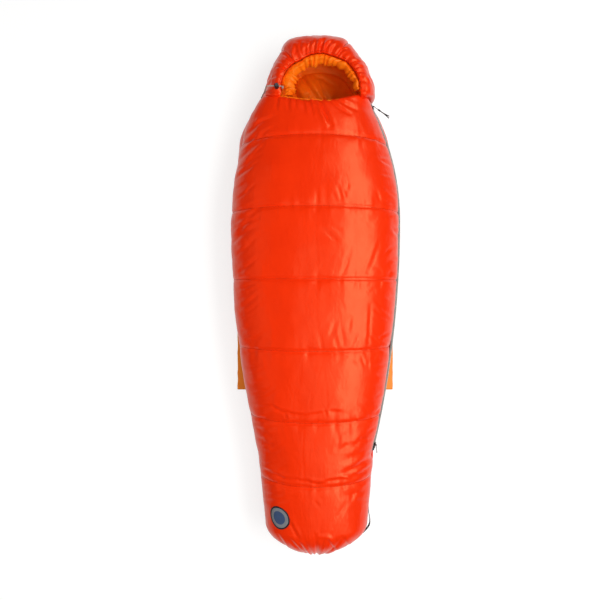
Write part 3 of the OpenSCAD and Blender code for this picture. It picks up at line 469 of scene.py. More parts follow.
def upperSection(y, a, thick=0.0):  # a runs from 0 at the zip over the crown to 180
    w = np.radians(a)
    c, s = np.cos(w), np.maximum(np.sin(w), 0)
    y = y - seamBow(y) * c * c
    zipSide = (a < 90) * zipHere(y)
    behindTape = -(tapeReach + bag["upperRoom"]) / seamSlant(y)
    half = seamHalf(y) + mix(bag["proud"], behindTape, zipSide) - 0.8 * thick + leftSwell(y, a)
    z0 = bag["seamZ"] + mix(bag["seamSplit"], bag["zipGap"], zipSide)
    collar = ease((y - 470) / 120)  # fuller at the collar, under the hood
    zipFull = 1.1 * ease((y - 545) / 45) - 0.35 * ease((y - 300) / 120)
    full = np.where(a < 90, zipFull, 1.1 * collar)
    power = 2 / (2.3 + full * c * c + 0.6 * s * s * collar)
    x = half * np.sign(c) * np.abs(c) ** power
    z = z0 + (crownZ(y) - thick - z0) * s ** power
    back = y - bag["collarScoop"] * s ** 6 * ease((y - 461) / 129)
    return stacked(x, back, z)


def floorUnder(y):  # the bag lies on its sleeve at the middle and on the ground beyond it
    low, high = bag["sleeveEnds"]
    beyond = np.maximum(ease((y - high) / bag["sleeveEase"]), ease((low - y) / bag["sleeveEase"]))
    return mix(bag["sleeveZ"], bag["groundZ"], beyond)


def lowerSection(y, a, thick=0.0):
    w = np.radians(a)
    zipSide = (a < 90) * zipHere(y)
    c, s = np.cos(w), np.maximum(np.sin(w), 0)
    y = y - seamBow(y) * c * c
    underTape = (tapeReach - bag["lowerRoom"]) / seamSlant(y)
    half = seamHalf(y) + mix(bag["proud"], underTape, zipSide) - thick + leftSwell(y, a)
    z0 = bag["seamZ"] - mix(bag["seamSplit"], bag["zipGap"], zipSide)
    x = half * np.sign(c) * np.abs(c) ** bag["lowPower"]
    if thick == 0:
        swell = 4 + 26 * ease((y - 360) / 150) * (1 - 0.4 * ease((y - 550) / 40))
        x = x + np.sign(c) * swell * np.sqrt(np.abs(np.sin(2 * w)))
        ground = floorUnder(y) + 0 * x
        z = np.maximum(ground, z0 - 1.12 * (z0 - ground) * s ** bag["lowPower"])
    else:
        z = z0 - (z0 - bag["linerZ"]) * s ** bag["lowPower"]
    return stacked(x, y + 0 * x, z)


def sectionRows(spacing, domeRows):  # stations from toe to neck: place, turn of the toe, turn of the edge
    rows = [(bag["footY"], math.radians(86 * (1 - i / domeRows)), 0.0) for i in range(domeRows)]
    seamAt = []
    stops = bag["seams"][:-1] + [bag["neckY"] - bag["edgeRoll"]]
    for y0, y1 in zip(stops[:-1], stops[1:]):
        n = max(4, round((y1 - y0) / spacing))
        seamAt.append(len(rows))
        rows += [(y0 + (y1 - y0) * i / n, 0.0, 0.0) for i in range(n)]
    for w in np.radians([0, 18, 36, 54, 72, 90]):
        rows.append((stops[-1] + bag["edgeRoll"] * math.sin(w), 0.0, w))
    return np.array(rows).T[..., None], seamAt[1:]


def evenAngles(section, count):  # columns at even spacing round the section at the hip
    a = np.linspace(0, 180, 4001)
    run = runOf(section(np.array(0.0), a))
    return np.interp(np.linspace(0, run[-1], count), run, a)[None, :], run[-1]


def toDome(p, turn, deep):  # draws a section in towards the toe
    power = 2 / bag["domePower"]
    draw = np.cos(turn) ** power
    out = p.copy()
    out[..., 0] *= draw
    out[..., 1] -= deep * np.sin(turn) ** power
    out[..., 2] = bag["footMidZ"] + (p[..., 2] - bag["footMidZ"]) * draw
    return out


def sideDraw(p):  # the closed side draws in at its seam
    return bag["sideDip"] * np.exp(-np.linalg.norm(p - p[:, -1:], axis=-1) / bag["sideDipWide"])


def toSeam(y):
    return np.min(np.abs(np.asarray(y)[..., None] - quiltSeams), axis=-1)


toeFold = {"y": -785.0, "fanY": -800.0, "coarse": (3.4, 9, 140, 4, 0), "fine": (4.2, 90, 0, 7),
           "reach": 105.0, "plain": 12}


def toeGathers(x, y, fine):  # folds that run together at the toe
    far = np.hypot(x, y - toeFold["y"])
    fan = np.degrees(np.arctan2(x, y - toeFold["fanY"]))
    folds = ripples(fan, far, toeFold["coarse"], (fine, *toeFold["fine"]))
    return folds * bell(far / toeFold["reach"]) * hold(far / toeFold["plain"])


def sewnEdges(grid):
    pins = np.ones(grid.shape[:2], dtype=bool)
    pins[1:-1, 1:-1] = False
    return pins


def inflate(name, start, cut, pins, air):  # cloth simulation of one sewn panel, its cut wider than its place
    nr, nc = start.shape[:2]
    faces = gridFaces(nr, nc, turn=air["turn"])
    piece = makePiece(name, start.reshape(-1, 3), faces, [], closed=False)
    piece.shape_key_add(name="sewn", from_mix=False)
    key = piece.shape_key_add(name="cut", from_mix=False)
    key.data.foreach_set("co", (cut.reshape(-1, 3) / 1000).astype(np.float32).ravel())
    piece.vertex_groups.new(name="stitched").add(np.flatnonzero(pins.ravel()).tolist(), 1.0, "REPLACE")
    cloth = piece.modifiers.new("air", "CLOTH")
    s = cloth.settings
    s.quality, s.mass, s.air_damping = 6, 0.12, 2.0
    s.tension_stiffness = s.compression_stiffness = air["stiff"]
    s.shear_stiffness, s.bending_stiffness = air["stiff"] / 3, air["bend"]
    s.use_pressure, s.uniform_pressure_force = True, air["pressure"]
    s.vertex_group_mass, s.pin_stiffness = "stitched", 1.0
    s.rest_shape_key = key
    s.effector_weights.gravity = 0
    cloth.point_cache.frame_start, cloth.point_cache.frame_end = 1, air["frames"]
    for step in range(1, air["frames"] + 1):
        bpy.context.scene.frame_set(step)
    ready = piece.evaluated_get(bpy.context.evaluated_depsgraph_get()).to_mesh()
    co = np.zeros(nr * nc * 3, dtype=np.float32)
    ready.vertices.foreach_get("co", co)
    bpy.data.objects.remove(piece)
    bpy.context.scene.frame_set(1)
    moved = co.reshape(nr, nc, 3).astype(float) * 1000 - start
    far = np.linalg.norm(moved, axis=-1, keepdims=True)
    print(name, "blown up, most", round(float(far.max()), 1), "mm, mean", round(float(far.mean()), 2))
    return start + moved * np.minimum(1, air["cap"] / np.maximum(far, 1e-6))


def joinSkins(outer, inner):  # one closed shape: fine outer grid, inner grid at half its count
    nr, nc = outer.shape[:2]
    mr, mc = inner.shape[:2]
    shift = nr * nc
    points = np.concatenate([outer.reshape(-1, 3), inner.reshape(-1, 3)])
    faces = gridFaces(nr, nc) + gridFaces(mr, mc, shift, turn=True)
    inside = len(faces) - (nr - 1) * (nc - 1)

    def edge(fine, coarse):
        made = []
        for i in range(len(coarse) - 1):
            a, b, c = fine[2 * i:2 * i + 3]
            made += [[b, a, coarse[i]], [b, coarse[i], coarse[i + 1]], [c, b, coarse[i + 1]]]
        return made
    allFine = np.arange(nr * nc).reshape(nr, nc)
    allCoarse = shift + np.arange(mr * mc).reshape(mr, mc)
    for fine, coarse in ((allFine[0], allCoarse[0]), (allFine[-1, ::-1], allCoarse[-1, ::-1]),
                         (allFine[::-1, 0], allCoarse[::-1, 0]), (allFine[:, -1], allCoarse[:, -1])):
        faces += edge(fine.tolist(), coarse.tolist())
    slots = np.zeros(len(faces), dtype=int)
    slots[(nr - 1) * (nc - 1):(nr - 1) * (nc - 1) + inside] = 1
    return points, faces, slots


def endsHeld(shape, sides):  # 0 at the borders of a grid, 1 away from them
    keep = np.ones(shape)
    keep[[0, -1]] = 0
    for i, share in enumerate(sides):
        keep[:, [i, -1 - i]] *= share
    return keep


def quiltMap(grid, mm):
    return gridMap(np.linspace(0, mm, grid.shape[1])[None, :], grid[:, grid.shape[1] // 2, 1][:, None])


def makeQuilt(name, outer, inner, uv, nodes):  # shell outside, liner inside
    points, faces, slots = joinSkins(outer, inner)
    piece = makePiece(name, points, faces, [shellNylon, linerTaffeta], np.concatenate(uv), slots)
    dress(piece, "bag", nodes)
    print(name, "made,", len(faces), "faces")


# upper quilt, from the toe to the collar
upper = {"spacing": 8.0, "columns": 90, "domeRows": 18, "dip": 3.4, "dipWide": 3.4, "softDip": 1.4,
         "softWide": 26.0, "sideShare": 0.45, "spare": 0.04, "cutLong": 1.003, "thick": 50.0,
         "fill": 0.8, "wobble": (0.5, 23, 23, 9, 5),
         "air": {"pressure": 5.0, "stiff": 16.0, "bend": 0.12, "frames": 28, "cap": 9.0, "turn": True},
         "seamGather": (2.0, 13, 90, 0, 0), "gatherFrom": 5, "gatherWide": 22, "threadSunk": 1.3,
         "sidePull": (0.8, 17, 110, 0, 20), "slant": 0.7, "toeFine": 1.1,
         "soft": [(1.4, 60, 75, 3, 8), (0.4, 26, 34, 1, 4)],
         "collarGather": (1.5, 9, 60, 6, 0), "collarWide": 26}
upperFolds = [  # depth and width, then the route in plan, in millimetres
    (1.6, 4, -190, -328, -150, -322, -125, -321), (2.6, 4.5, -130, -318, -108, -330, -92, -338),
    (2.6, 4.5, -98, -330, -70, -341, -39, -341), (2.2, 4.5, -50, -346, -10, -340, 27, -334),
    (1.6, 4, -92, -338, -86, -354), (1.3, 3.5, 20, -320, 28, -346), (1.6, 5, 30, -330, 74, -334),
    (2.0, 5, -161, -511, -140, -517, -119, -522), (3.0, 4.5, -122, -520, -95, -530, -66, -531),
    (2.2, 4, -72, -526, -50, -531, -34, -536), (3.2, 4.5, -40, -530, -5, -540, 27, -541),
    (2.8, 4.5, 20, -534, 59, -530, 84, -527), (-2.2, 4, 66, -520, 99, -524),
    (3.6, 8, 78, -510, 118, -498, 157, -480), (2.2, 6, 100, -526, 140, -518, 168, -505),
    (2.4, 5, -79, -655, -52, -703), (2.8, 4.5, -76, -706, -36, -762), (2.6, 4.5, -53, -710, -24, -764),
    (2.4, 5, -4, -688, 2, -764), (2.8, 4.5, 29, -700, 58, -752), (-1.2, 6, 2, -692, 53, -700),
    (2.2, 4.5, 76, -700, 96, -744), (2.2, 4.5, -110, -700, -84, -752),
    (0.4, 3.5, 26, -240, 29, -305, 25, -367), (0.4, 3.5, -37, -330, -40, -450, -36, -560),
    (0.35, 3.5, 1, 268, -3, 160, 3, 60, -2, -60, 2, -155), (1.2, 6, 68, 47, 84, 92, 97, 132),
    (1.2, 6, 142, 55, 165, 110, 182, 160), (1.3, 7, 26, 181, 59, 157), (1.8, 6, 78, -147, 68, -91),
    (1.4, 6, 37, -121, 52, -76), (1.2, 5, 148, -152, 152, -90, 154, -27), (1.3, 6, 14, -158, 6, -98),
    (1.3, 6, 110, -150, 120, -112), (1.2, 6, 60, -152, 52, -118), (2.0, 5, -84, 574, -80, 530),
    (1.4, 5, -60, 572, -62, 538), (2.6, 5, -42, 572, -34, 520), (4.0, 5, -27, 572, -12, 520),
    (-3.0, 4.5, -16, 570, -6, 536), (-5.0, 6, -6, 574, 12, 522, 27, 488),
    (3.6, 5, 4, 572, 30, 516, 43, 486), (3.0, 5, 24, 574, 66, 536, 96, 520),
    (2.2, 6, 34, 576, 88, 548, 124, 534), (0.7, 6, 60, 576, 118, 560), (1.8, 5, -112, 576, -116, 540),
    (2.2, 6, -234, 398, -195, 428, -150, 452), (2.2, 6, -237, 347, -200, 380, -162, 407),
    (1.8, 6, -244, 160, -205, 210, -171, 248), (1.5, 7, 63, -445, 94, -428), (1.5, 7, 100, -437, 143, -411),
    (1.3, 8, 88, -470, 150, -452), (1.2, 6, -178, -390, -139, -405), (1.2, 6, -175, -420, -133, -435),
    (1.0, 6, -168, -452, -130, -462), (1.4, 4.5, 58, 308, 66, 288, 70, 268), (1.4, 4.5, 74, 300, 82, 276),
    (1.0, 4.5, 88, 316, 84, 292), (1.0, 4.5, 46, 286, 56, 266), (1.2, 4.5, 172, 298, 184, 272),
    (1.0, 4.5, 0, 300, 2, 262), (1.2, 5, 12, 190, 34, 172, 60, 152), (0.9, 5, 40, 196, 66, 182),
    (0.9, 6, 108, 230, 150, 206), (1.0, 5, 96, -66, 90, -108), (1.2, 4.5, 128, -176, 140, -206),
    (1.0, 4.5, 146, -186, 150, -216), (0.9, 6, 88, -184, 118, -204), (1.0, 5, 60, -390, 64, -420, 58, -446),
    (1.2, 5, -6, -590, 8, -606), (1.0, 6, 86, -600, 60, -640), (1.0, 6, 118, -560, 96, -600)]
# pulls of each edge: side, gap, length, depth, least and most rise
edgePulls = [(-1, 25, 74, 2.0, 0.2, 0.75), (1, 30, 46, 1.9, -0.8, 0.8)]


def sideFolds():  # slanted pulls that run in from both edges, longer on the closed side
    chance = np.random.default_rng(8)
    made = []
    for side, gap, long, deep, low, high in edgePulls:
        y = -610
        while y < 500:
            x = side * (seamHalf(y) - chance.uniform(2, 18))
            far = long * chance.uniform(0.45, 1.3)
            rise = far * chance.uniform(low, high)
            made.append((deep * chance.uniform(0.5, 1.2), chance.uniform(3.6, 5.6), x, y,
                         x - 0.5 * side * far, y + 0.4 * rise, x - side * far, y + rise))
            y += gap * chance.uniform(0.5, 1.5)
    return made


(rowY, toeTurn, edgeTurn), seamAt = sectionRows(upper["spacing"], upper["domeRows"])
upperAngles, roundMm = evenAngles(upperSection, upper["columns"])
crownShare = overTop(upperAngles)
plain = toDome(upperSection(rowY, upperAngles), toeTurn, bag["footDeep"])
inward = -gridNormals(plain)
dips = (upper["dip"] * np.exp(-toSeam(rowY) / upper["dipWide"])
        + upper["softDip"] * np.exp(-toSeam(rowY) / upper["softWide"]))
rolled = bag["edgeRoll"] * (1 - np.cos(edgeTurn))
sunk = dips * mix(upper["sideShare"], 1.0, crownShare) + sideDraw(plain) + rolled
start = plain + inward * sunk[..., None]
pins = sewnEdges(start)
pins[seamAt] = True
wobble = ripples(start[..., 0], start[..., 1], upper["wobble"]) * ~pins
cut = start.copy()
cut[..., 0] *= 1 + upper["spare"]
cut[..., 2] = bag["seamZ"] + (cut[..., 2] - bag["seamZ"]) * (1 + upper["spare"])
cut[..., 1] *= upper["cutLong"]
blown = inflate("upperCloth", start - inward * wobble[..., None], cut, pins, upper["air"])
start = mix(blown, start, 0.75 * np.sin(toeTurn)[..., None])  # the toe keeps its length
upperGrid = finer(start, seamAt)
outward = gridNormals(upperGrid)
x, y = upperGrid[..., 0], upperGrid[..., 1]
upperY = np.where(toeTurn[:, 0] > 0, bag["footY"] - 0.001 * np.arange(len(rowY))[::-1], rowY[:, 0])
fineY = np.interp(np.arange(upperGrid.shape[0]) / 2, np.arange(len(upperY)), upperY)
fineA = np.interp(np.arange(upperGrid.shape[1]) / 2, np.arange(upperAngles.shape[1]), upperAngles[0])
gap = toSeam(fineY)[:, None]
pucker = ripples(x, y, upper["seamGather"]) * np.exp(-gap / upper["gatherWide"])
pucker = pucker * (1 - np.exp(-gap / upper["gatherFrom"])) - upper["threadSunk"] * (gap < 1)
nearSide = ease((np.abs(x) - 0.72 * seamHalf(y)) / 60)
slant = upper["slant"]
pucker += ripples(x + slant * y, y - slant * x, upper["sidePull"]) * nearSide
pucker += ripples(x, y, *upper["soft"]) + toeGathers(x, y, upper["toeFine"])
collarY = bag["neckY"] - bag["collarScoop"] * np.cos(np.clip(x / 160, -1, 1) * 1.5) ** 2
toCollar = np.exp(-np.abs(collarY - y) / upper["collarWide"])
pucker += ripples(x, y, upper["collarGather"]) * toCollar * ease((130 - np.abs(x)) / 60)
pucker += pressFolds(upperGrid[..., :2], upperFolds + sideFolds())
upperGrid = upperGrid + outward * (pucker * endsHeld(pucker.shape, (0.0, 0.35, 0.7)))[..., None]
shellOut = gridNormals(upperGrid)
inside = toDome(upperSection(rowY, upperAngles, upper["thick"]), toeTurn, bag["insideDeep"])
inside[..., 2] += (4.0 * np.exp(-toSeam(rowY) / 30.0) + rolled) * crownShare
makeQuilt("upperQuilt", upperGrid, inside, [quiltMap(upperGrid, roundMm), quiltMap(inside, roundMm)],
          ["upper_shell", "upper_liner", "foot_shell", "foot_fill", "foot_liner"]
          + ["upper_fill_%d" % k for k in range(1, 8)])

# lower quilt, the half that lies on the ground
lower = {"spacing": 9.0, "columns": 100, "domeRows": 18, "dip": 2.6, "dipWide": 16.0, "thick": 40.0,
         "fill": 0.6, "sideWrinkle": (1.0, 14, 60, 3, 0), "wrinkleZ": 70, "wrinkleHigh": 22,
         "toeFine": 1.2, "soft": (1.0, 45, 50, 0, 13),
         "inside": [(2.2, 50, 60, 2, 0), (1.5, 18, 40, 0, 0)]}
(lowY, lowTurn, lowEdge), lowSeams = sectionRows(lower["spacing"], lower["domeRows"])
lowAngles, lowMm = evenAngles(lowerSection, lower["columns"])
lowShare = overTop(lowAngles)
low = toDome(lowerSection(lowY, lowAngles), lowTurn, bag["footDeep"])
inward = gridNormals(low)
dips = lower["dip"] * np.exp(-toSeam(lowY) / lower["dipWide"]) * lowShare * (lowTurn == 0)
low = low + inward * (dips + sideDraw(low) + bag["edgeRoll"] * (1 - np.cos(lowEdge)) * lowShare)[..., None]
x, y, z = low[..., 0], low[..., 1], low[..., 2]
nearSide = np.exp(-np.abs(z - lower["wrinkleZ"]) / lower["wrinkleHigh"])
wrinkle = ripples(y, z, lower["sideWrinkle"]) * nearSide
wrinkle = wrinkle + ripples(x, y, lower["soft"]) + toeGathers(x, y, lower["toeFine"])
low = low + inward * (wrinkle * endsHeld(wrinkle.shape, (0.0, 0.0)))[..., None]
low[..., 2] = np.maximum(low[..., 2], floorUnder(low[..., 1]) - 0.2)
lowFine = finer(low, lowSeams)
lowFine[..., 2] = np.maximum(lowFine[..., 2], 0.6)
lowIn = toDome(lowerSection(lowY, lowAngles, lower["thick"]), lowTurn, bag["insideDeep"])
lowIn[..., 2] += ripples(lowIn[..., 0], lowIn[..., 1], *lower["inside"]) * lowShare
makeQuilt("lowerQuilt", lowFine, lowIn, [quiltMap(lowFine, lowMm), quiltMap(lowIn, lowMm)],
          ["lower_shell", "lower_liner"] + ["lower_fill_%d" % k for k in range(1, 8)])

# hood: three panels gathered to the face rim, turned about the middle of the neck
hood = {"y": 591.7, "midZ": 85.0, "sideR": 168.4, "topR": 193.3, "lean": 10.0, "rimR": 118.0,
        "rimSkew": 11.0, "high": 180.0, "drop": 80.7, "tuck": 22, "thick": 42.0, "rimOut": 8, "rimIn": 4,
        "linerDown": 30, "panels": (58.5, 127.5), "columns": 121, "rows": 52, "tilts": (-72, 105),
        "gather": 0.12, "endRoll": 9.0, "fill": 0.7, "mapMm": (3.2, 1.6),
        "dip": 3.6, "dipWide": 4, "softDip": 2.6, "softWide": 24,
        "swells": [(34, 7, 6.0), (64, 9, 4.0), (90, 22, -6.0), (114, 9, 6.0), (161, 8, -5.0),
                   (180, 7, 5.0)],
        "air": {"pressure": 4.0, "stiff": 14.0, "bend": 0.06, "frames": 26, "cap": 9.0, "turn": False},
        "seat": 2.8, "topSeat": 15, "topSeatHigh": 104, "leftSeat": 7, "leftSeatHigh": 45, "seatFan": 8,
        "soft": [(1.3, 9, 22, 2, 0), (0.5, 3.2, 9, 6, 0)],
        "inside": [(2.4, 8, 35, 0, 0), (1.4, 3, 18, 8, 0)]}
# gathers of each panel: from, to, gap, depth, length, lean; creases: fan and tilt of both ends, depth
hoodGathers = [(60, 126, 4.4, 4.6, 22, -5), (130, 176, 6.2, 3.4, 34, 1), (6, 57, 6.0, 2.6, 22, -3)]
hoodCreases = [(168, 8, 158, 50, 2.6), (160, 2, 150, 34, 2.2), (150, 12, 140, 44, 2.0),
               (174, 30, 166, 64, 2.2), (135, 6, 128, 40, 1.8), (14, 10, 24, 52, 2.0), (30, 8, 38, 46, 1.8),
               (8, 36, 20, 66, 1.8), (46, 4, 50, 38, 1.4), (76, 10, 84, 40, 1.4), (100, 8, 96, 36, 1.4)]
creaseWide = 6.5
fanMm, tiltMm = 2.2, 1.3  # millimetres to a degree on the hood, near its rim


def hoodR(f):
    c = np.cos(np.radians(f))
    r = mix(hood["sideR"], hood["topR"], ease((np.minimum(f, 180 - f) - 36) / 28))
    return r + hood["lean"] * c * np.abs(c) + sum(
        high * bell((f - at) / wide) for at, wide, high in hood["swells"])


def rimR(f):
    return hood["rimR"] + hood["rimSkew"] * np.cos(np.radians(f))


def hoodTurn(f, r, z):
    w = np.radians(f)
    return stacked(r * np.cos(w), hood["y"] + r * np.sin(w), z)


def hoodWall(f, t, inner=False):
    w = np.radians(t)
    r = hoodR(f) - (hood["thick"] if inner else 0)
    r0 = np.minimum(rimR(f) + hood["rimIn"], r - 3) if inner else rimR(f) + hood["rimOut"]
    below = r if inner else r - hood["tuck"] * (1 - np.cos(w))
    rise = hood["high"] - hood["midZ"] - (hood["linerDown"] if inner else 0)
    rr = np.where(t < 0, below, r0 + (r - r0) * np.cos(w))
    return rr, hood["midZ"] + np.where(t < 0, hood["drop"], rise) * np.sin(w)


def hoodFolds():
    chance = np.random.default_rng(5)
    made = []
    for f, last, gap, deep, long, lean in hoodGathers:
        while f < last:
            end = 97 - long * chance.uniform(0.45, 1.5)
            turn = lean * chance.uniform(0.4, 1.6)
            made.append((deep * chance.uniform(0.3, 1.3), chance.uniform(2.8, 5.0),
                         f * fanMm, 116 * tiltMm, (f + 0.35 * turn) * fanMm, (101 + end) / 2 * tiltMm,
                         (f + turn) * fanMm, end * tiltMm))
            f += gap * chance.uniform(0.45, 1.7)
    for f, t, g, u, deep in hoodCreases:
        made.append((deep, creaseWide, f * fanMm, t * tiltMm, g * fanMm, u * tiltMm))
    return made


fans = np.linspace(0, 180, hood["columns"])[None, :]
tilts = np.linspace(*hood["tilts"], hood["rows"])[:, None]
toEnd = np.minimum(fans, 180 - fans)
rr, zz = hoodWall(fans, tilts)
hoodOut = hoodTurn(fans, rr, zz + 0 * fans)
overSeam = zz - bag["seamZ"]
# the two ends press against the collar, more at the top, and the left one also beside the side seam
seat = hood["seat"] + hood["topSeat"] * hold(overSeam / hood["topSeatHigh"]) ** 3
seat = seat + hood["leftSeat"] * (fans > 90) * bell(overSeam / hood["leftSeatHigh"])
seat = seat * bell(toEnd / hood["seatFan"])
hoodOut[..., 1] -= seat
outward = gridNormals(hoodOut, turn=True)
panelGap = np.minimum(*[np.abs(fans - f) for f in hood["panels"]]) * rr * math.pi / 180
endGap = np.minimum(toEnd * rr * math.pi / 180, hood["endRoll"]) / hood["endRoll"]
sunk = (hood["dip"] * np.exp(-panelGap / hood["dipWide"])
        + hood["softDip"] * np.exp(-panelGap / hood["softWide"]))
sunk = sunk + hood["endRoll"] * (1 - np.sqrt(1 - (1 - endGap) ** 2))
start = hoodOut - outward * sunk[..., None]
start[..., 2] = np.maximum(start[..., 2], 1.0)
pins = sewnEdges(start)
for f in hood["panels"]:
    pins[:, int(np.argmin(np.abs(fans[0] - f)))] = True
spread = 1.012 + hood["gather"] * ease((tilts - 30) / 60)
cut = start.copy()
cut[..., 0] *= spread
cut[..., 1] = hood["y"] + (cut[..., 1] - hood["y"]) * spread
wobble = 0.6 * ripple(fans / 3.1, tilts / 40 + 4) * ~pins
start = inflate("hoodCloth", start + outward * wobble[..., None], cut, pins, hood["air"])
hoodGrid = finer(start)
outward = gridNormals(hoodGrid, turn=True)
fFine = np.linspace(0, 180, hoodGrid.shape[1])[None, :]
tFine = np.linspace(*hood["tilts"], hoodGrid.shape[0])[:, None]
gathers = pressFolds(stacked(fFine * fanMm, tFine * tiltMm), hoodFolds())
gathers = gathers + 0.8 * ripple(fFine / 3.3, tFine / 30) * ease((tFine - 55) / 35)
gathers += ripples(fFine, tFine, *hood["soft"])
hoodGrid = hoodGrid + outward * (gathers * endsHeld(gathers.shape, (0.0, 0.5)))[..., None]
hoodGrid[..., 2] = np.maximum(hoodGrid[..., 2], 0.8)
hoodShellOut = gridNormals(hoodGrid, turn=True)
rr, zz = hoodWall(fans, tilts, True)
hoodIn = hoodTurn(fans, rr, zz + 0 * fans)
hoodIn[..., 1] -= seat
creased = ripples(fans, tilts, *hood["inside"])
hoodIn = hoodIn + gridNormals(hoodIn) * (creased * endsHeld(creased.shape, (0.0,)))[..., None]
fanMap, tiltMap = hood["mapMm"]
maps = [gridMap(f * fanMap, t * tiltMap) for f, t in ((fFine, tFine), (fans, tilts))]
makeQuilt("hood", hoodGrid, hoodIn, maps,
          ["hood_shell_left", "hood_shell_crown", "hood_shell_right", "hood_fill_left", "hood_fill_crown",
           "hood_fill_right", "hood_liner"])

# back of the hood, the cushion under the head, with the seam where its lining turns up to the wall
hoodBack = {"low": 1.4, "high": 40.0, "rings": 56, "columns": 140, "seamR": 104.0, "rise": 46.0,
            "soft": (2.4, 42, 46, 5, 2), "puff": 26.0, "puffMid": (-26, 632), "puffWide": (62, 56),
            "seamDip": 3.0, "seamWide": 2.6, "skew": 22, "shellIn": 16.0, "fill": 0.5}
backFolds = [
    (6.5, 8, -52, 690, -20, 640, 14, 596), (6.0, 8, -74, 646, -48, 600),
    (3.6, 7, -12, 684, 24, 672, 60, 652), (3.4, 7, -36, 604, -6, 622), (4.5, 8, -85, 640, -66, 668),
    (4.6, 8, 6, 668, 22, 628, 40, 604)]
share = np.linspace(0.0, 1.0, hoodBack["rings"])[:, None]
fans = np.linspace(0, 180, hoodBack["columns"])[None, :]
far = (hoodR(fans) - hood["thick"] - 1.0) * share
top = hoodTurn(fans, far, hoodBack["high"] + 0 * far)
x, y = top[..., 0], top[..., 1]
seamR = hoodBack["seamR"] + 6 * ripple(fans / 40, 3 + 0 * fans) + hoodBack["skew"] * np.cos(np.radians(fans))
toMid = (top[..., :2] - hoodBack["puffMid"]) / hoodBack["puffWide"]
top[..., 2] += hoodBack["puff"] * np.exp(-toMid[..., 0] ** 2 - toMid[..., 1] ** 2)
top[..., 2] += ripples(x, y, hoodBack["soft"]) * ease(share * 2) * ease((1 - share) * 6)
top[..., 2] += (hoodBack["rise"] * ease((far - seamR) / 60)
                - hoodBack["seamDip"] * bell((far - seamR) / hoodBack["seamWide"]))
top[..., 2] += pressFolds(top[..., :2], backFolds) * ease((1 - share) * 8)
under = hoodTurn(fans, (hoodR(fans) - hoodBack["shellIn"]) * share, hoodBack["low"] + 0 * far)
skin = np.concatenate([top, under[::-1]])
nr, nc = skin.shape[:2]
straight = [[i * nc, (i + 1) * nc, (nr - 2 - i) * nc, (nr - 1 - i) * nc] for i in range(nr // 2 - 1)]
faces = gridFaces(nr, nc) + straight + [[j + nc - 1 for j in quad[::-1]] for quad in straight]
slots = np.ones(len(faces), dtype=int)
slots[:(nr // 2 - 1) * (nc - 1)] = 0
points = skin.reshape(-1, 3)
pillow = makePiece("hoodBack", points, faces, [linerTaffeta, shellNylon], points[:, :2] / 1000, slots)
dress(pillow, "bag", ["hood_back_shell", "hood_back_fill", "hood_back_liner"])
print("hood back made")

# gathered face edge, a scrunched channel of light taffeta with uneven pleats
faceEdge = {"from": 3.0, "to": 186.0, "cordTo": 171.0, "steps": 520, "sides": 40, "wide": 27.0, "skew": 10.0,
            "flare": 12.0, "high": 22.0, "z": 162.3, "pleats": (11.0, 29.0), "droop": 8.0, "lockRoom": 9.0,
            "lockFan": 166, "flareFan": 158, "flareWide": 14, "uneven": 0.2, "degreeMm": 2.05, "cordIn": 5.3}


def rimEdge(f):
    t = np.full(np.shape(f), 105.0)
    return np.minimum(hoodWall(f, t)[0], hoodWall(f, t, True)[0])


f = np.linspace(faceEdge["from"], faceEdge["to"], faceEdge["steps"])[:, None]
k = fullTurn(faceEdge["sides"] + 1)[None, :]
# the end leaves room for the cord and its lock
sewn = rimEdge(f) - 0.3 - faceEdge["lockRoom"] * ease((f - faceEdge["lockFan"]) / 6)
wide = faceEdge["wide"] - faceEdge["skew"] * np.cos(np.radians(f))
wide = wide + faceEdge["flare"] * bell((f - faceEdge["flareFan"]) / faceEdge["flareWide"])
wide = wide / 2 * mix(1.0, 0.7, ease((f - 170) / 14))
wide = wide * (1 + faceEdge["uneven"] * ripple(f / 8, 3 + 0 * f))
chance = np.random.default_rng(3)
run = faceEdge["degreeMm"] * f
pleatEnds = np.cumsum(chance.uniform(*faceEdge["pleats"], 60)) - 20
pleatHigh = chance.uniform(0.6, 1.25, 61)
slide = run + 3.5 * ripple(run / 30, 2 + 0 * k) + 6.0 * ripple(run / 40 + 7, 0.9 * np.cos(k) + 5)
which = np.searchsorted(pleatEnds, slide.ravel()).reshape(slide.shape)
where = hold((slide - pleatEnds[which - 1]) / (pleatEnds[which] - pleatEnds[which - 1]))
puff = np.sin(math.pi * where) ** 0.7 * pleatHigh[which]
crush = ripple(run / 15 + 3, 1.8 * np.cos(k) + 4) + 0.4 * ripple(run / 8, 2.4 * np.sin(k) + 11)
size = 0.50 + 0.46 * puff + 0.15 * crush
free = hold(-np.cos(k))  # the free side stands out more than the sewn side, and hangs lower
out = mix(size + 0.12 * free, 1.0, hold(np.cos(k)))
rr = np.minimum(sewn - wide + wide * np.cos(k) * out, sewn + 1.5)
zz = faceEdge["z"] + faceEdge["high"] / 2 * np.sin(k) * (size + 0.05) - faceEdge["droop"] * free
zz = zz + 2.0 * ripple(run / 24 + 1, 6 + 0 * k)
ruffle = makeTube("faceRuffle", hoodTurn(f, rr, zz), [edgeTaffeta], gridMap(k * 12, run))
dress(ruffle, "bag", ["face_ruffle"])
f = np.linspace(faceEdge["from"], faceEdge["cordTo"], 120)
route = hoodTurn(f, rimEdge(f) - faceEdge["cordIn"], np.full(120, faceEdge["z"]))
inChannel = tube("drawcordInChannel", route, drawcord["diameter"] / 2, 10, greyCord)[0]
dress(inChannel, "bag", ["drawcord"])
print("face edge gathered")

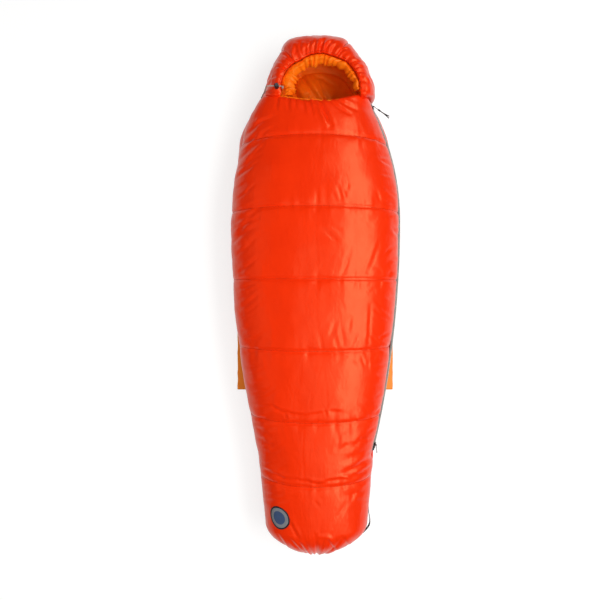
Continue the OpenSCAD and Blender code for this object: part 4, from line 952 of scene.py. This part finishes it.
# collar binding behind the rolled edge of the upper quilt, seen best on the left half
bindingLine = {"radius": 1.4, "out": 1.8, "tucked": 4.0}
line = upperGrid[-5, 6:-6].copy()
shown = ease((line[:, 0] + 112) / 20) * ease((25 - line[:, 0]) / 30)
line[:, 1] = upperGrid[-1, 6:-6, 1] + bindingLine["out"] - bindingLine["tucked"] * (1 - shown)
binding = tube("collarBinding", line, bindingLine["radius"], 10, edgeTaffeta)[0]
dress(binding, "bag", ["collar_binding"])

# zip: two tapes, two coils and the draft tube, all on the two seam arcs
zipRun = {"topTurn": 28.391694, "footTurn": -13.232309, "tapeFrom": 1.2, "tapeTo": 13.0, "tapeThick": 0.8,
          "pitch": 2.2, "coilWide": 3.4, "coilHigh": 3.0, "split": 0.7, "wire": 0.45}


def zipStations(step, inTop=0.0, inFoot=0.0):
    up = math.radians(zipRun["topTurn"]) - inTop / bag["shoulderR"]
    down = math.radians(zipRun["footTurn"]) + inFoot / bag["sideR"]
    side = np.linspace(down, 0, int(-down * bag["sideR"] / step) + 1)[:-1]
    high = np.linspace(0, up, int(up * bag["shoulderR"] / step) + 1)
    radius = np.concatenate([np.full(len(side), bag["sideR"]), np.full(len(high), bag["shoulderR"])])
    return np.concatenate([side, high])[:, None], radius[:, None]


def onArc(turn, radius, r, z):
    return stacked(bag["apexX"] - radius + r * np.cos(turn), bag["chestY"] + r * np.sin(turn), z)


def onZip(turn, radius, p, q):  # p out of the zip, q across it
    r = radius + p * math.cos(bag["tilt"]) - q * math.sin(bag["tilt"])
    return onArc(turn, radius, r, bag["seamZ"] + p * math.sin(bag["tilt"]) + q * math.cos(bag["tilt"]))


turn, radius = zipStations(5.0)
longRun = runOf(onZip(turn, radius, 0, 0)[:, 0])[:, None]
h, a, b = zipRun["tapeThick"] / 2, zipRun["tapeFrom"], zipRun["tapeTo"]
p = h * np.array([-1, -1, -0.4, 0.4, 1, 1, 1, 0.4, -0.4, -1])[None, :]
q = np.array([a + 0.3, b - 0.3, b, b, b - 0.3, (a + b) / 2, a + 0.3, a, a, a + 0.3])[None, :]
for name, node, side in (("zipTapeUpper", "zip_tape_upper", 1), ("zipTapeLower", "zip_tape_lower", -1)):
    tape = makeTube(name, onZip(turn, radius, p, side * q), [zipTapeWeave], gridMap(q + p, longRun))
    dress(tape, "bag", [node])

# one turn of the coil, copied along the chain
bpy.ops.object.select_all(action="DESELECT")
bpy.ops.mesh.primitive_torus_add(major_segments=9, minor_segments=4, major_radius=1.0, minor_radius=0.28)
loop = bpy.context.active_object
bpy.ops.object.mode_set(mode="EDIT")
bpy.ops.mesh.select_all(action="SELECT")
bpy.ops.transform.resize(value=(zipRun["coilHigh"] / 2 - zipRun["wire"] + 0.3,
                                zipRun["coilWide"] / 2 - zipRun["wire"] + 0.3, 1.3))
bpy.ops.object.mode_set(mode="OBJECT")
ring = np.array([v.co[:] for v in loop.data.vertices])
ringFaces = np.array([list(face.vertices) for face in loop.data.polygons])
bpy.data.objects.remove(loop)
turn, radius = zipStations(zipRun["pitch"], 4.0, 7.0)
p = zipRun["tapeThick"] / 2 + zipRun["coilHigh"] / 2 + ring[:, 0]
q = zipRun["split"] + zipRun["coilWide"] / 2 + ring[:, 1]
lean = ring[:, 2] + 0.5 * ring[:, 1]  # each turn leans, as a wound wire does
faces = (ringFaces[None] + (np.arange(len(turn)) * len(ring))[:, None, None]).reshape(-1, 4).tolist()
for name, node, side, shift in (("zipCoilUpper", "zip_coil_upper", 1, 0.0),
                                ("zipCoilLower", "zip_coil_lower", -1, 0.5)):
    points = onZip(turn + (lean + shift * zipRun["pitch"]) / radius, radius, p, side * q).reshape(-1, 3)
    dress(makePiece(name, points, faces, [coilNylon]), "bag", [node])

draft = {"wide": 30.0, "high": 17.0, "behind": 10.0, "step": 6.0, "sides": 24, "crimp": 0.10}
turn, radius = zipStations(draft["step"], 9.0, 18.0)
k = fullTurn(draft["sides"] + 1)[None, :]
station = np.arange(len(turn))[:, None]
crimp = 1 - draft["crimp"] * np.abs(ripple(station / 3.0, 2 * np.cos(k) + 3))
outR = draft["wide"] / 2 * np.sign(np.cos(k)) * np.abs(np.cos(k)) ** 0.7 * crimp
rr = radius - draft["behind"] - draft["wide"] / 2 + outR
zz = bag["seamZ"] + draft["high"] / 2 * np.sign(np.sin(k)) * np.abs(np.sin(k)) ** 0.8 * crimp
skin = onArc(turn, radius, rr, zz)
draftTube = makeTube("zipDraftTube", skin, [shellNylon], gridMap(k * 12, station * draft["step"]))
dress(draftTube, "bag", ["zip_draft_tube"])
print("zip made")

# sleeve: one strip of cloth folded to a flat loop and sewn to the underside by its two ends
sleeve = {"half": 247.4, "high": 8.0, "thick": 0.8, "from": -297.0, "long": 447.0, "flap": 97.0}
r = sleeve["high"] / 2 - sleeve["thick"] / 2
flat = sleeve["half"] - sleeve["high"] / 2
midZ = sleeve["high"] / 2
bend = [(-flat - r * math.sin(w), midZ + r * math.cos(w)) for w in np.linspace(0, math.pi, 12)]
flap = [(px, midZ + r) for px in np.linspace(sleeve["flap"] - sleeve["half"], -flat, 16)[:-1]]
base = [(px, midZ - r) for px in np.linspace(-flat, flat, 60)[1:-1]]
across = np.array(flap + bend + base + [(-px, pz) for px, pz in (flap + bend)[::-1]])
stations = np.linspace(0, sleeve["long"], 76)[:, None]
side = np.sign(across[None, :, 0])
wave = 1.6 * ripple(stations / 34, side * 7 + 9) * ease((np.abs(across[None, :, 0]) - 225) / 20)
mid = stacked(across[None, :, 0] - side * np.abs(wave), sleeve["from"] + stations, across[None, :, 1])
away = gridNormals(mid) * sleeve["thick"] / 2
run = runOf(across)
skin = np.concatenate([mid + away, (mid - away)[:, ::-1], (mid + away)[:, :1]], axis=1)  # once round each row
uv = gridMap(np.concatenate([run, run[::-1], run[:1]])[None, :], stations)
nr, nc = skin.shape[:2]
ends = [[row * nc + i, row * nc + i + 1, row * nc + nc - 3 - i, row * nc + nc - 2 - i]
        for row in (0, nr - 1) for i in range(len(run) - 1)]
padSleeve = makePiece("padSleeve", skin.reshape(-1, 3), gridFaces(nr, nc) + ends, [sleeveTaffeta], uv)
dress(padSleeve, "bag", ["pad_sleeve"])
print("sleeve made, cut", round(run[-1]), "by", sleeve["long"])


def onShell(y, a, lift=0.0):  # a point on the finished upper shell
    ri, ci = np.interp(y, fineY, np.arange(len(fineY))), np.interp(a, fineA, np.arange(len(fineA)))
    i, j = np.minimum(ri.astype(int), len(fineY) - 2), np.minimum(ci.astype(int), len(fineA) - 2)
    fi, fj = (ri - i)[..., None], (ci - j)[..., None]

    def blend(g):
        return mix(mix(g[i, j], g[i + 1, j], fi), mix(g[i, j + 1], g[i + 1, j + 1], fi), fj)
    return blend(upperGrid) + unit(blend(shellOut)) * np.asarray(lift)[..., None]


# round patch, bare, with an overlocked border
patchShape = {"y": -649.0, "a": 130.5, "across": 65.0, "threads": 160, "band": (4, 10), "edge": 2.0,
              "lift": 1.5, "rings": [0, 5, 10, 15, 19, 19.4, 23, 26.5, 29.8, 30.0, 29.8, 15, 0],
              "lifts": [1.5, 1.5, 1.5, 1.5, 1.5, 1.5, 1.5, 1.45, 1.3, 0.9, 0.35, 0.3, 0.3]}
ends = upperSection(np.array(patchShape["y"]), patchShape["a"] + np.array([1.0, -1.0]))
span = np.linalg.norm(ends[0] - ends[1]) / 2  # millimetres to a degree of the section


def onPatch(r, w, lift):
    return onShell(patchShape["y"] + r * np.sin(w), patchShape["a"] - r * np.cos(w) / span, lift)


w = fullTurn(73)[None, :]
ringR = np.array(patchShape["rings"], float)[:, None]
skin = onPatch(ringR, w, np.array(patchShape["lifts"])[:, None] + 0 * w)
slots = np.zeros((len(ringR) - 1, w.shape[1] - 1), dtype=int)
slots[slice(*patchShape["band"])] = 1
patch = makePiece("patchDisc", skin.reshape(-1, 3), gridFaces(*skin.shape[:2]), [patchTwill, bandTwill],
                  gridMap(ringR * np.cos(w), ringR * np.sin(w)), slots.ravel())
dress(patch, "bag", ["patch"])
w = fullTurn(2 * patchShape["threads"] + 1)[:, None]
k = fullTurn(13)[None, :]
wrap = 1.0 + 0.10 * np.cos(patchShape["threads"] * (w + 0.02 * np.cos(k)))
ringR = patchShape["across"] / 2 - patchShape["edge"] + patchShape["edge"] * np.cos(k) * wrap
skin = onPatch(ringR, w, patchShape["lift"] + 1.15 * np.sin(k) * wrap)
border = makePiece("patchBorder", skin.reshape(-1, 3), gridFaces(*skin.shape[:2]), [borderThread],
                   gridMap(k * 2, w * 28))
dress(border, "bag", ["patch_border"])
print("patch sewn")

# hang loop of webbing at the right of the foot
loopStrap = {"y": -642.0, "long": 96.0, "bow": 9.0, "wide": 14.0, "thick": 1.3, "steps": 48}
t = np.linspace(0, 1, loopStrap["steps"] + 1)[:, None]
y = loopStrap["y"] - loopStrap["long"] * t
intoToe = hold((bag["footY"] - y) / bag["footDeep"])
drawn = (1 - intoToe ** bag["domePower"]) ** (1 / bag["domePower"])
inX = (seamHalf(np.maximum(y, bag["footY"])) + bag["proud"]) * drawn + 0.6
inX = inX + loopStrap["bow"] * np.sin(math.pi * t) ** 2
h = loopStrap["wide"] / 2
edgeOut = np.array([0, 0, 0.25, 1, 1, 0.75, 1, 1, 0.25, 0])[None, :]
edgeZ = np.array([-h + 0.4, h - 0.4, h, h, h - 0.6, 0, -h + 0.6, -h, -h, -h + 0.4])[None, :]
skin = stacked(inX + loopStrap["thick"] * edgeOut, y, bag["seamZ"] + edgeZ)
strap = makeTube("hangLoop", skin, [webbingWeave], gridMap(edgeZ, t * loopStrap["long"]))
dress(strap, "bag", ["hang_loop"])
print("hang loop made")

# sewing thread along the quilt seams, the hood's panel seams and its rim, in a darker colour that paints
# shade along the seams: one stitch, copied
stitch = {"long": 3.4, "pitch": 4.4, "thick": 0.35, "sides": 5,
          "shape": [(-0.5, 0.15), (-0.36, 0.85), (0.0, 1.0), (0.36, 0.85), (0.5, 0.15)]}
seamLines = [(upperGrid[2 * row, 2:-2], shellOut[2 * row, 2:-2]) for row in seamAt]
for f in hood["panels"]:
    column = int(np.argmin(np.abs(fFine[0] - f)))
    seamLines.append((hoodGrid[20:-4, column], hoodShellOut[20:-4, column]))
rimRow = int(np.argmin(np.abs(tFine[:, 0] - 102)))
seamLines.append((hoodGrid[rimRow, 6:-6], hoodShellOut[rimRow, 6:-6]))
w = fullTurn(stitch["sides"] + 1)
points, faces = [], []
for line, away in seamLines:
    run = runOf(line)
    for s in np.arange(stitch["pitch"], run[-1] - stitch["pitch"], stitch["pitch"]):
        at, ahead = [np.array([np.interp(d, run, line[:, i]) for i in range(3)]) for d in (s, s + 1)]
        up = unit(np.array([np.interp(s, run, away[:, i]) for i in range(3)]))
        way = unit(ahead - at)
        first = len(points)
        for along, wide in stitch["shape"]:
            loop = stitch["thick"] * wide * (np.cos(w)[:, None] * np.cross(up, way) + np.sin(w)[:, None] * up)
            points += list(at + up * stitch["thick"] + way * along * stitch["long"] + loop)
        faces += gridFaces(len(stitch["shape"]), len(w), first)
        last = len(points) - len(w)
        faces += [list(range(first + len(w) - 2, first - 1, -1)), list(range(last, last + len(w) - 1))]
thread = makePiece("seamStitches", points, faces, [seamThreadPaintedShade])
dress(thread, "bag")
print("seams stitched,", len(points) // (len(w) * len(stitch["shape"])), "stitches")

# solids that stay, with their finishes
finishes = {"cord_lock_barrel": blackPlastic, "cord_lock_button": greyPlastic,
            "cord_end_bead": blackPlastic, "zip_top_stops": blackEnamel, "zip_bottom_stop": blackEnamel,
            "top_slider": blackEnamel, "top_pull": blackEnamel, "bottom_slider": blackEnamel,
            "bottom_pull": greyEnamel}
for name, finish in finishes.items():
    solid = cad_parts[name]
    solid.data.materials.clear()
    solid.data.materials.append(finish)
print("fittings finished")

# spring in the cord lock, which closes up under the button
lockSpring = {"turns": 3, "radius": 0.0032, "wire": 0.00035, "keep": 0.28}
low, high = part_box("cord_lock_spring")
bpy.ops.object.select_all(action="DESELECT")
bpy.ops.mesh.primitive_circle_add(vertices=8, radius=lockSpring["wire"],
                                  location=(lockSpring["radius"], 0, 0), rotation=(math.pi / 2, 0, 0))
spring = bpy.context.active_object
spring.name = "lockSpring"
bpy.ops.object.transform_apply(location=True, rotation=True, scale=True)
coil = spring.modifiers.new("coil", "SCREW")
coil.iterations = lockSpring["turns"]
coil.screw_offset = (high[2] - low[2] - 2 * lockSpring["wire"]) / lockSpring["turns"]
coil.steps = 24
coil.render_steps = 24
bpy.ops.object.modifier_apply(modifier="coil")
bpy.ops.object.mode_set(mode="EDIT")
bpy.ops.mesh.select_all(action="SELECT")
bpy.ops.mesh.fill_holes(sides=0)
bpy.ops.mesh.select_all(action="SELECT")
bpy.ops.mesh.normals_make_consistent(inside=False)
bpy.ops.object.mode_set(mode="OBJECT")
bpy.ops.object.shade_smooth()
spring.location = ((low[0] + high[0]) / 2, (low[1] + high[1]) / 2, low[2] + lockSpring["wire"])
bpy.ops.object.transform_apply(location=True, rotation=True, scale=True)
spring.data.materials.append(springSteel)
dress(spring, "cord_lock", ["cord_lock_spring"])
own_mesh(spring)
print("spring wound,", len(spring.data.polygons), "faces")

# floor and light: a long softbox high on the right makes the shine, the fills only soften the shade
bpy.ops.object.select_all(action="DESELECT")
bpy.ops.mesh.primitive_plane_add(size=14, location=(0, 0, -0.0005))
ground = bpy.context.active_object
ground.name = "ground"
shine = {"Base Color": linear("#aaaaa8"), "Emission Color": (1, 1, 1, 1), **gloss(0.9, 0.1)}
paper, tree, shader = newMaterial("backdrop_paper", shine)
rays = add(tree, "ShaderNodeLightPath").outputs  # a white page for the camera and in reflections
seen = maths(tree, "ADD", rays["Is Camera Ray"], rays["Is Glossy Ray"])
seen = maths(tree, "ADD", seen, rays["Is Transmission Ray"], clamp=True)
tree.links.new(maths(tree, "MULTIPLY", seen, 0.7), shader.inputs["Emission Strength"])
ground.data.materials.append(paper)

studio = {"keyBox": ((1.36, 0.2, 2.1), (3.4, 0.95), 52.0), "topFill": ((0.3, -0.9, 2.6), (2.2, 1.6), 22.0),
          "leftFill": ((-2.0, 0.0, 1.7), (2.6, 1.2), 16.0), "ambient": 0.15}
for name in ("keyBox", "topFill", "leftFill"):
    place, size, power = studio[name]
    lamp = bpy.data.lights.new(name, "AREA")
    lamp.shape, lamp.size, lamp.size_y, lamp.energy = "RECTANGLE", size[0], size[1], power
    box = bpy.data.objects.new(name, lamp)
    box.location = place
    box.rotation_euler = (Vector((0, place[1], 0.1)) - Vector(place)).to_track_quat("-Z", "Y").to_euler()
    box.visible_glossy = name == "keyBox"
    bpy.context.scene.collection.objects.link(box)
world = bpy.data.worlds.new("studio")
bpy.context.scene.world = world
world.use_nodes = True
world.node_tree.nodes["Background"].inputs["Color"].default_value = (1, 1, 1, 1)
world.node_tree.nodes["Background"].inputs["Strength"].default_value = studio["ambient"]
world.cycles_visibility.glossy = False
print("studio lit")
